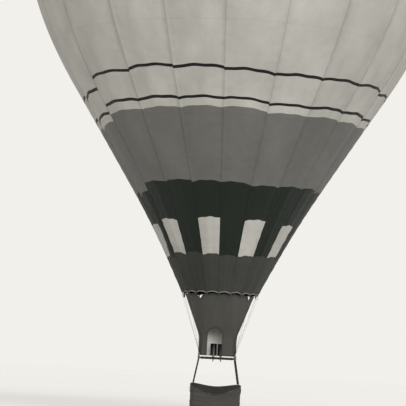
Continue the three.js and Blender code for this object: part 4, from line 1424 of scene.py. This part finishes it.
class BALLOON_OT_burner(bpy.types.Operator):
    """Makes the burner's block with its valves and levers, and the two cans with their coils and jets."""

    bl_idname = "balloon.burner"
    bl_label = "Burner"

    def execute(self, context):
        self.block()
        for name, side in (("left", -1), ("right", 1)):
            self.can(name, side)
        return {"FINISHED"}

    def block(self):
        """The block with its pin and with a valve on each side, and the valves' rubber grips."""
        half_x, pin_end, level = BLOCK[0] / 2, GIMBAL_HALF[1] + 0.003, FRAME_HEIGHT
        parts = [bar((-half_x, 0, level), (half_x, 0, level), BLOCK[1], BLOCK[2], 0.006),
                 rod((0, -pin_end, level), (0, pin_end, level), PIN_RADIUS, 20)]
        grips = []
        for side in (-1, 1):
            fittings, handles = self.valve(side, side * CAN["spread"])
            parts += fittings
            grips += handles
        piece("burner_block", parts, "alloy", "aluminium", "machined", "burner", crisp=True)
        piece("burner_grips", grips, "grip", "suede", body="burner", crisp=True)

    def valve(self, side, x):
        """One side's riser to its can with its bolts. Under the block, the blast valve's body, its hose
        port and its lever, whose grip swells by a sine. A knob is in front."""
        level = FRAME_HEIGHT
        neck = CAN["low"] - 0.001 - level
        riser = [(0.030, 0), (0.0367, 0.024), (0.0367, 0.040), (0.032, 0.044), (0.032, 0.060),
                 (0.0367, 0.064), (0.0367, neck)]
        bolts = arc((x, 0), 0.030, 30, 330, 60)
        body = [(0.010, -0.062), (0.018, -0.058), (0.021, -0.054), (0.021, -0.034), (0.017, -0.030),
                (0.017, -0.018)]
        port = [(0.011, 0.012), (0.013, 0.016), (0.013, 0.040), (0.010, 0.042), (0.010, 0.055)]
        port_level = level - 0.044
        route = [(x, -0.012, port_level), (x, -0.035, level - 0.046),
                 (x + side * 0.004, -0.070, level - 0.062), (x + side * 0.006, -0.120, level - 0.100)]
        lever = curve_through(route, 24)
        hold = curve_through([lever[-9], lever[-4], lever[-1] + (lever[-1] - lever[-4]) * 0.4], 16)
        swell = 1 + 0.12 * np.sin(2 * np.pi * 3 * np.linspace(0, 1, 16))[:, None, None]
        knob = [(0.005, 0), (0.005, 0.014), (0.013, 0.016), (0.015, 0.019), (0.015, 0.028), (0.012, 0.031)]
        parts = [
            turned(riser, 32, (x, 0, level)),
            many(nut(0.0055, 0.006), xyz(bolts[:, 0], bolts[:, 1], level + 0.0225)),
            turned(body, 24, (x, 0, level)),
            turned(port, 20, (x, 0, port_level), (0, 1, 0)),
            nut(0.015, 0.014, (x, 0.026, port_level), (0, 1, 0)),
            sweep(lever, flat_section(0.016, 0.006, 12, 5)),
        ]
        grips = [sweep(hold, flat_section(0.026, 0.016, 16, 3) * swell),
                 turned(knob, 10, (x + side * 0.055, 0.004 - BLOCK[1] / 2, level), (0, -1, 0))]
        return parts, grips

    def can(self, name, side):
        """A rolled sheet can with two beads and a rim. In it are its fuel coil, which is a helix, and the
        coil's feed, the jets on their ring, and the pilot light."""
        radius, low, high = CAN["radius"], CAN["low"], CAN["high"]
        inner = radius - CAN["wall"] - 0.002
        bottom = low + CAN["wall"]
        sheet = np.vstack([
            [(radius - 0.010, low), (radius - 0.002, low + 0.002)],
            arc((radius - 0.002, low + 0.07), (0.004, 0.006), -90, 90, 30),
            arc((radius - 0.002, high - 0.09), (0.004, 0.006), -90, 90, 30),
            arc((radius - 0.004, high - 0.005), 0.005, -60, 240, 30),
            [(inner, high - 0.015), (inner, bottom), (0.012, bottom), (0.012, low)],
        ])
        turn = np.linspace(0, 2 * np.pi * COIL["turns"], 30 * COIL["turns"])
        coil = polar(COIL["radius"], turn, np.linspace(low + 0.10, high - 0.04, len(turn)))
        feed = [coil[0], (0.06, -0.03, low + 0.06), (0.03, -0.02, low + 0.03), (0.02, 0, low + 0.008)]
        pipe = 0.0075 * circle(turns(8))
        jet = [(0.0045, 0), (0.0045, 0.010), (0.003, 0.014)]
        pilot = [(0.012, 0.004), (0.012, 0.075), (0.016, 0.08), (0.016, 0.095), (0.010, 0.1)]
        parts = [
            turned(sheet, 64, closed=True),
            sweep(coil, pipe),
            sweep(curve_through(feed, 16), pipe, (0, 1, 0)),
            ring_of(JET_RING, 0.007, (0, 0, low + 0.045), UP, 40, 10),
            many(turned(jet, 8), polar(JET_RING, turns(12), low + 0.050)),
            turned(pilot, 16, (0, 0, low)),
        ]
        parts = many(joined(parts), [(side * CAN["spread"], 0, 0)])
        piece(f"burner_can_{name}", parts, "hot_steel", "stainless_steel", "rolled", "burner", crisp=True)


class BALLOON_OT_uprights(bpy.types.Operator):
    """Makes the four padded uprights between the basket and the burner frame."""

    bl_idname = "balloon.uprights"
    bl_label = "Uprights"

    def execute(self, context):
        for name, x, y in CORNERS:
            foot, head = [np.array(UPRIGHT[end]) * (x, y, 1) for end in ("foot", "head")]
            self.upright(f"upright_{name}", foot, head)
        return {"FINISHED"}

    def upright(self, name, foot, head):
        """A padded sleeve round a stiff rod, held by three straps."""
        sleeve = padded_sleeve(foot, head, UPRIGHT["radius"], 6)
        piece(name, sleeve, "suede", "suede", "padded")
        strap = [(0.0245, -0.013), (0.0268, -0.011), (0.0268, 0.011), (0.0245, 0.013)]
        way = head - foot
        straps = [turned(strap, 24, foot + way * place, way) for place in (0.035, 0.5, 0.965)]
        piece(f"{name}_straps", straps, "webbing", "webbing", crisp=True)


class BALLOON_OT_basket(bpy.types.Operator):
    """Makes the woven walls, the suede rim, the rawhide foot, the floor, the runners and the handles."""

    bl_idname = "balloon.basket"
    bl_label = "Basket"

    def execute(self, context):
        self.weave()
        self.stakes()
        self.rim()
        self.foot()
        self.base()
        self.handles()
        return {"FINISHED"}

    def weave(self):
        """Rows of willow that pass in and out of the stakes: the distance from the wall's middle is a
        cosine with one wave for two stakes, turned by half a wave in every other row."""
        sizes = chosen_sizes()
        waves, rows = sizes.stakes // 2, sizes.weaver_rows
        count = waves * WICKER["points"]
        base, normals = basket_ring(WALL / 2, count)
        pitch = (rim_height(base) - 0.006 - WALL_LOW) / rows
        row = np.arange(rows)[:, None]
        share = np.arange(count) / count
        dice = np.random.default_rng(3)
        phase = np.pi * row + 0.08 * dice.standard_normal((rows, 1))
        swing = WICKER["swing"] * np.cos(2 * np.pi * waves * share + phase)
        drift = 0.0012 * np.sin(2 * np.pi * (5 * share + dice.random((rows, 1))))
        level = WALL_LOW + pitch * (row + 0.5) + drift
        path = base + normals * swing[..., None] + UP * level[..., None]
        out, up = (circle(turns(WICKER["sides"])) * (WICKER["thickness"] / 2, WICKER["half_height"])).T
        section = normals[:, None] * out[:, None] + UP * (pitch[:, None] * up)[..., None]
        rods = WICKER["rods"]
        tans = dice.random((rows, rods))
        own = np.take_along_axis(tans, (share * rods + tans[:, :1] * 3).astype(int) % rods, axis=1)
        own = np.repeat(own, WICKER["sides"], axis=1)
        walls = flipped(skinned(path[:, :, None] + section, closed=True))
        piece("wicker_walls", walls, "willow", "wicker", "woven", rod=own)

    def stakes(self):
        """Upright stakes in the wall, and three bands of two rods twisted round each other."""
        count = chosen_sizes().stakes
        base, _ = basket_ring(WALL / 2, count)
        low = WALL_LOW + 0.001
        tall = (rim_height(base) - 0.004 - low)[:, None, None]
        level = low + tall * np.array([[0.0], [0.5], [1.0]])
        section = polar(STAKE_RADIUS, turns(6), 0.0)
        parts = [skinned(base[:, None, None] + section + UP * level[..., None])]
        steps = 12 * count
        around, normals = basket_ring(0.0, steps)
        tall = rim_height(around) - WALL_LOW
        for height_share in TWIST_SHARES:
            for strand in (0, np.pi):
                cosine, sine = circle(count * turns(steps) + strand).T[..., None]
                level = (WALL_LOW + tall * height_share)[:, None] + 0.006 * sine
                path = around - normals * (0.0015 - 0.0035 * cosine) + UP * level
                parts.append(sweep(path, TWIST_RADIUS * circle(turns(5)), closed=True))
        dice = np.random.default_rng(5)
        points = len(joined(parts)[0])
        own = np.repeat(dice.random(points // 200 + 1), 200)[:points]
        piece("wicker_stakes", parts, "willow", "wicker", rod=own)

    def rim(self):
        """A hide cover over the top edge: one skin carried round the basket, up its outer side, over a
        round roll and down inside. Both flaps hang lowest in the middle of each side, and their edges
        curl out a little."""
        count, stand = 336, COVER["stand"]
        outer, normals = basket_ring(0.0, count)
        sag = side_drop(outer, COVER_SAG)[:, None] + COVER["depth"]
        flap, down = np.ones(12), np.linspace(1, 0, 12)
        over = np.linspace(0, np.pi, 13)[1:-1]
        # Distance in from the wall's outer face, height over the top edge, share of the way down, and side
        inset, rise, fall, side = [np.concatenate(stretches) for stretches in (
            (-stand * flap, WALL / 2 - (WALL / 2 + stand) * np.cos(over), (WALL + stand) * flap),
            (0 * flap, COVER["crown"] * np.sin(over) ** 0.8, 0 * flap),
            (down, 0 * over, down[::-1]),
            (flap, 0 * over, -flap),
        )]
        turn = turns(count)[:, None]
        crease = 0.0022 * np.sin(31 * turn + 9 * fall) * fall + 0.0016 * np.sin(53 * turn - 14 * fall + 1)
        curl = 0.006 * fall ** 3 + crease * np.abs(side) * np.sqrt(fall + 0.1)
        level = rim_height(outer)[:, None] + rise - sag * fall + 0.004 * np.sin(17 * turn) * fall
        middle = outer[:, None] + normals[:, None] * (side * curl - inset)[..., None] + UP * level[..., None]
        facing = unit(np.cross(way_round(middle), np.gradient(middle, axis=1)))
        skin = facing * COVER["skin"] / 2
        loops = np.concatenate([middle + skin, (middle - skin)[:, ::-1]], axis=1)
        cover = flipped(skinned(loops, closed=True))
        piece("rim_cover", cover, "suede", "suede", "suede")
        self.stitches(middle[:, 0], facing[:, 0])

    def stitches(self, edge, out):
        """Short stitches along the outer flap's edge, one for each column of the cover and one between.
        Each is humped by one less the square of the share from its middle."""
        path = edge + out * (COVER["skin"] / 2 + 0.0005) + 0.014 * UP
        after = np.roll(path, -1, axis=0)
        spots = np.concatenate([path, (path + after) / 2])[:, None]
        ways, out = [np.concatenate([vectors, vectors])[:, None] for vectors in (unit(after - path), out)]
        share = np.linspace(-1, 1, 4)[:, None]
        lines = spots + ways * share * 0.0042 + out * 0.0016 * (1 - share ** 2)
        across, up = (0.0011 * circle(turns(4))).T[..., None]
        points = lines[:, :, None] + out[:, None] * across - UP * up
        piece("rim_stitches", skinned(points), "pale_cord", "suede")

    def foot(self):
        """A rawhide band round the foot, waved a little at its upper edge, and the thong that laces it,
        which is a helix."""
        outer, normals = basket_ring(0.0, 280)
        turn = turns(len(outer))[:, None]
        high = FOOT_BAND["high"] + 0.004 * np.sin(37 * turn) * np.sin(5 * turn)
        thickness, stand = FOOT_BAND["thickness"], FOOT_BAND["stand"]
        # Distance out from the wall, and share of the way up
        section = [(stand, 0.0), (stand + thickness, 0.0)]
        section += [(stand + thickness * 1.1, up) for up in (0.2, 0.4, 0.6, 0.8)]
        section += [(stand + thickness, 1.0), (stand, 1.0)]
        out, up = np.transpose(section)
        out = out + 0.0015 * np.sin(61 * turn + 5 * up)
        level = WALL_LOW + (high - WALL_LOW) * up
        points = outer[:, None] + normals[:, None] * out[..., None] + UP * level[..., None]
        piece("foot_band", flipped(skinned(points, closed=True)), "rawhide", "rawhide", "rawhide")
        outer, normals = basket_ring(0.0, 1800)
        out, up = circle(LACING_TURNS * turns(len(outer))).T[..., None]
        path = outer + normals * (0.0085 + 0.0015 * out) + UP * (FOOT_BAND["high"] - 0.012 + 0.013 * up)
        piece("foot_lacing", sweep(path, 0.0028 * circle(turns(5)), closed=True), "rawhide", "rawhide")

    def base(self):
        """The plywood floor with its coach bolts, and three ash runners."""
        rings = [basket_ring(WALL + inset, 96)[0] + level * UP for inset, level in (
            (0.004, WALL_LOW), (0.001, WALL_LOW + 0.003), (0.001, FLOOR_TOP - 0.003), (0.004, FLOOR_TOP))]
        piece("basket_floor", skinned(np.stack(rings)), "plywood", "plywood", "plywood", crisp=True)
        half, level = RUNNER["length"] / 2, RUNNER["height"] / 2
        for name, side in (("front", -1), ("middle", 0), ("back", 1)):
            y = side * RUNNER["spread"]
            beam = bar((-half, y, level), (half, y, level), RUNNER["width"], RUNNER["height"], 0.006)
            piece(f"runner_{name}", beam, "ash", "ash_wood", "ash", crisp=True)
        heads = [(x, side * RUNNER["spread"], FLOOR_TOP)
                 for x in RUNNER["bolt_spacing"] * np.arange(-2, 3) for side in (-1, 0, 1)]
        dome = [(0.011, 0.0), (0.011, 0.0015), (0.0085, 0.0042), (0.004, 0.0058), (0.0006, 0.006)]
        piece("floor_bolts", many(turned(dome, 16), heads), "steel", "stainless_steel")

    def handles(self):
        """A rope handle on the outer face near each corner. It comes out of one hole in the wall, sags
        and goes in at the next."""
        ropes = []
        for _, x, y in CORNERS:
            inside = y * (BASKET_HALF[1] - 0.02)
            start, end = [np.array([x * hole, inside, HANDLE["height"]]) for hole in HANDLE["holes"]]
            middle = (start + end) / 2
            out, low = (0, y * 0.024, -0.004), (0, y * 0.030, -0.050)
            aside = np.array([x * 0.03, 0, 0])
            route = [start, start + out, middle + low - aside, middle + low + aside, end + out, end]
            section = HANDLE["radius"] * circle(turns(10))
            ropes.append(sweep(curve_through(route, 40), section, (0, 0.2, 1)))
        piece("rope_handles", ropes, "manila", "webbing")


class BALLOON_OT_cylinders(bpy.types.Operator):
    """Makes the four fuel cylinders with their collars, valves and straps."""

    bl_idname = "balloon.cylinders"
    bl_label = "Fuel cylinders"

    def execute(self, context):
        for name, x, y in CORNERS:
            foot = np.array([x * CYLINDER["x"], y * CYLINDER["y"], CYLINDER["low"]])
            inward = math.atan2(-foot[1], -foot[0])
            self.barrel(name, foot)
            self.valve(name, foot)
            self.straps(name, foot, inward)
        return {"FINISHED"}

    def barrel(self, name, foot):
        """A spun cylinder: a rolled foot ring, a barrel with a weld bead, a round shoulder and a collar."""
        radius = CYLINDER["radius"]
        profile = np.vstack([
            [(0.118, 0.0), (0.1265, 0.002), (0.1275, 0.008), (0.1275, 0.030)],
            arc((radius - 0.035, 0.060), 0.035, -45, 0, 15),
            [(radius, 0.270), (radius + 0.0012, 0.274), (radius + 0.0012, 0.280), (radius, 0.284)],
            arc((radius - 0.095, 0.515), (0.095, 0.080), 0, 90, 15),
            [(0.045, 0.597), (0.040, 0.600), (0.001, 0.601)],
        ])
        collar = [(0.0525, 0.590), (0.0525, 0.652), (0.0500, 0.656), (0.0475, 0.652), (0.0475, 0.590)]
        parts = [turned(profile, 48, foot), turned(collar, 40, foot, closed=True)]
        piece(f"fuel_cylinder_{name}", parts, "cylinder", "aluminium", "spun", crisp=True)

    def valve(self, name, foot):
        """The valve's body and nut, its handwheel with six spokes, and its outlet."""
        body = [(0.016, 0.600), (0.016, 0.622), (0.012, 0.625), (0.012, 0.636), (0.006, 0.638),
                (0.006, 0.645)]
        outlet = [(0.007, 0), (0.009, 0.003), (0.009, 0.018), (0.006, 0.020)]
        wheel, height = 0.026, 0.648
        parts = [turned(body, 20), nut(0.015, 0.010, (0, 0, 0.610)),
                 ring_of(wheel, 0.004, (0, 0, height), UP, 36, 8)]
        parts += [rod((0, 0, 0.646), end, 0.0022, 6) for end in polar(wheel, turns(6), height)]
        parts.append(turned(outlet, 16, (0.012, 0, 0.616), (1, 0, 0)))
        piece(f"cylinder_valve_{name}", many(joined(parts), [foot]), "brass", "aluminium", crisp=True)

    def straps(self, name, foot, inward):
        """Two webbing straps, each with a buckle that faces the basket's middle."""
        radius = CYLINDER["radius"]
        plate = holed_plate(flat_section(0.065, 0.055, 24, 4), flat_section(0.030, 0.046, 24, 4), 0.004)
        buckle = spun(plate, np.array([inward - np.pi / 2]))
        parts = []
        for level in CYLINDER["straps"]:
            path = polar(radius + 0.0005, turns(64), level)
            parts += [ribbon(path, unit(path * (1, 1, 0)), 0.045, STRAP_THICKNESS, closed=True),
                      many(buckle, [polar(radius + 0.006, inward, level)])]
        piece(f"cylinder_straps_{name}", many(joined(parts), [foot]), "webbing", "webbing")


class BALLOON_OT_stage(bpy.types.Operator):
    """Makes the floor, the soft light and the camera at the photograph's place."""

    bl_idname = "balloon.stage"
    bl_label = "Stage"

    def execute(self, context):
        scene = context.scene
        points, (ground, _, middle) = skinned(polar(FLOOR_RADII, turns(64), 0.0))
        new_object("floor", (points, [ground, middle]), ["floor"], {})
        world = bpy.data.worlds.new("pale_sky")
        world.use_nodes = True
        background = world.node_tree.nodes["Background"]
        background.inputs["Color"].default_value = shade(linear("#F2F0EB"))
        background.inputs["Strength"].default_value = 1.0
        scene.world = world
        sun = bpy.data.lights.new("soft_sun", "SUN")
        sun.energy = SUN["strength"]
        sun.angle = math.radians(SUN["width"])
        lamp = bpy.data.objects.new("soft_sun", sun)
        lamp.rotation_euler = (math.radians(SUN["tilt"]), 0, math.radians(SUN["turn"]))
        scene.collection.objects.link(lamp)
        camera = bpy.data.cameras.new("camera")
        camera.lens = EYE["lens"]
        camera.sensor_width = 36
        camera.clip_end = 3000
        eye = bpy.data.objects.new("camera", camera)
        place = Matrix.Translation((EYE["x"], EYE["y"], EYE["height"] - EQUATOR))
        pitch, roll = math.radians(90 + EYE["looks_up"]), math.radians(EYE["tipped"])
        eye.matrix_world = place @ Matrix.Rotation(pitch, 4, "X") @ Matrix.Rotation(roll, 4, "Z")
        scene.collection.objects.link(eye)
        scene.camera = eye
        scene.view_settings.view_transform = "Standard"
        return {"FINISHED"}


class BALLOON_PT_sidebar(bpy.types.Panel):
    """Lists the balloon's steps and settings."""

    bl_idname = "BALLOON_PT_sidebar"
    bl_label = "Balloon"
    bl_space_type = "VIEW_3D"
    bl_region_type = "UI"
    bl_category = "Balloon"

    def draw(self, context):
        for step in STEPS:
            self.layout.operator(f"balloon.{step}")
        for group in (context.scene.balloon_sizes, context.scene.balloon_colours):
            for key in type(group).__annotations__:
                self.layout.prop(group, key)


CLASSES = (
    BalloonSizes,
    BalloonColours,
    BALLOON_OT_materials,
    BALLOON_OT_stage,
    BALLOON_OT_envelope,
    BALLOON_OT_crown,
    BALLOON_OT_mouth,
    BALLOON_OT_scoop,
    BALLOON_OT_rigging,
    BALLOON_OT_burner_frame,
    BALLOON_OT_burner,
    BALLOON_OT_uprights,
    BALLOON_OT_basket,
    BALLOON_OT_cylinders,
    BALLOON_PT_sidebar,
)
STEPS = [item.bl_idname.split(".")[1] for item in CLASSES if issubclass(item, bpy.types.Operator)]


def register():
    for item in CLASSES:
        bpy.utils.register_class(item)
    bpy.types.Scene.balloon_sizes = bpy.props.PointerProperty(type=BalloonSizes)
    bpy.types.Scene.balloon_colours = bpy.props.PointerProperty(type=BalloonColours)


def unregister():
    del bpy.types.Scene.balloon_colours
    del bpy.types.Scene.balloon_sizes
    for item in reversed(CLASSES):
        bpy.utils.unregister_class(item)


def main():
    register()
    for step in STEPS:
        getattr(bpy.ops.balloon, step)()


if __name__ == "__main__":
    main()
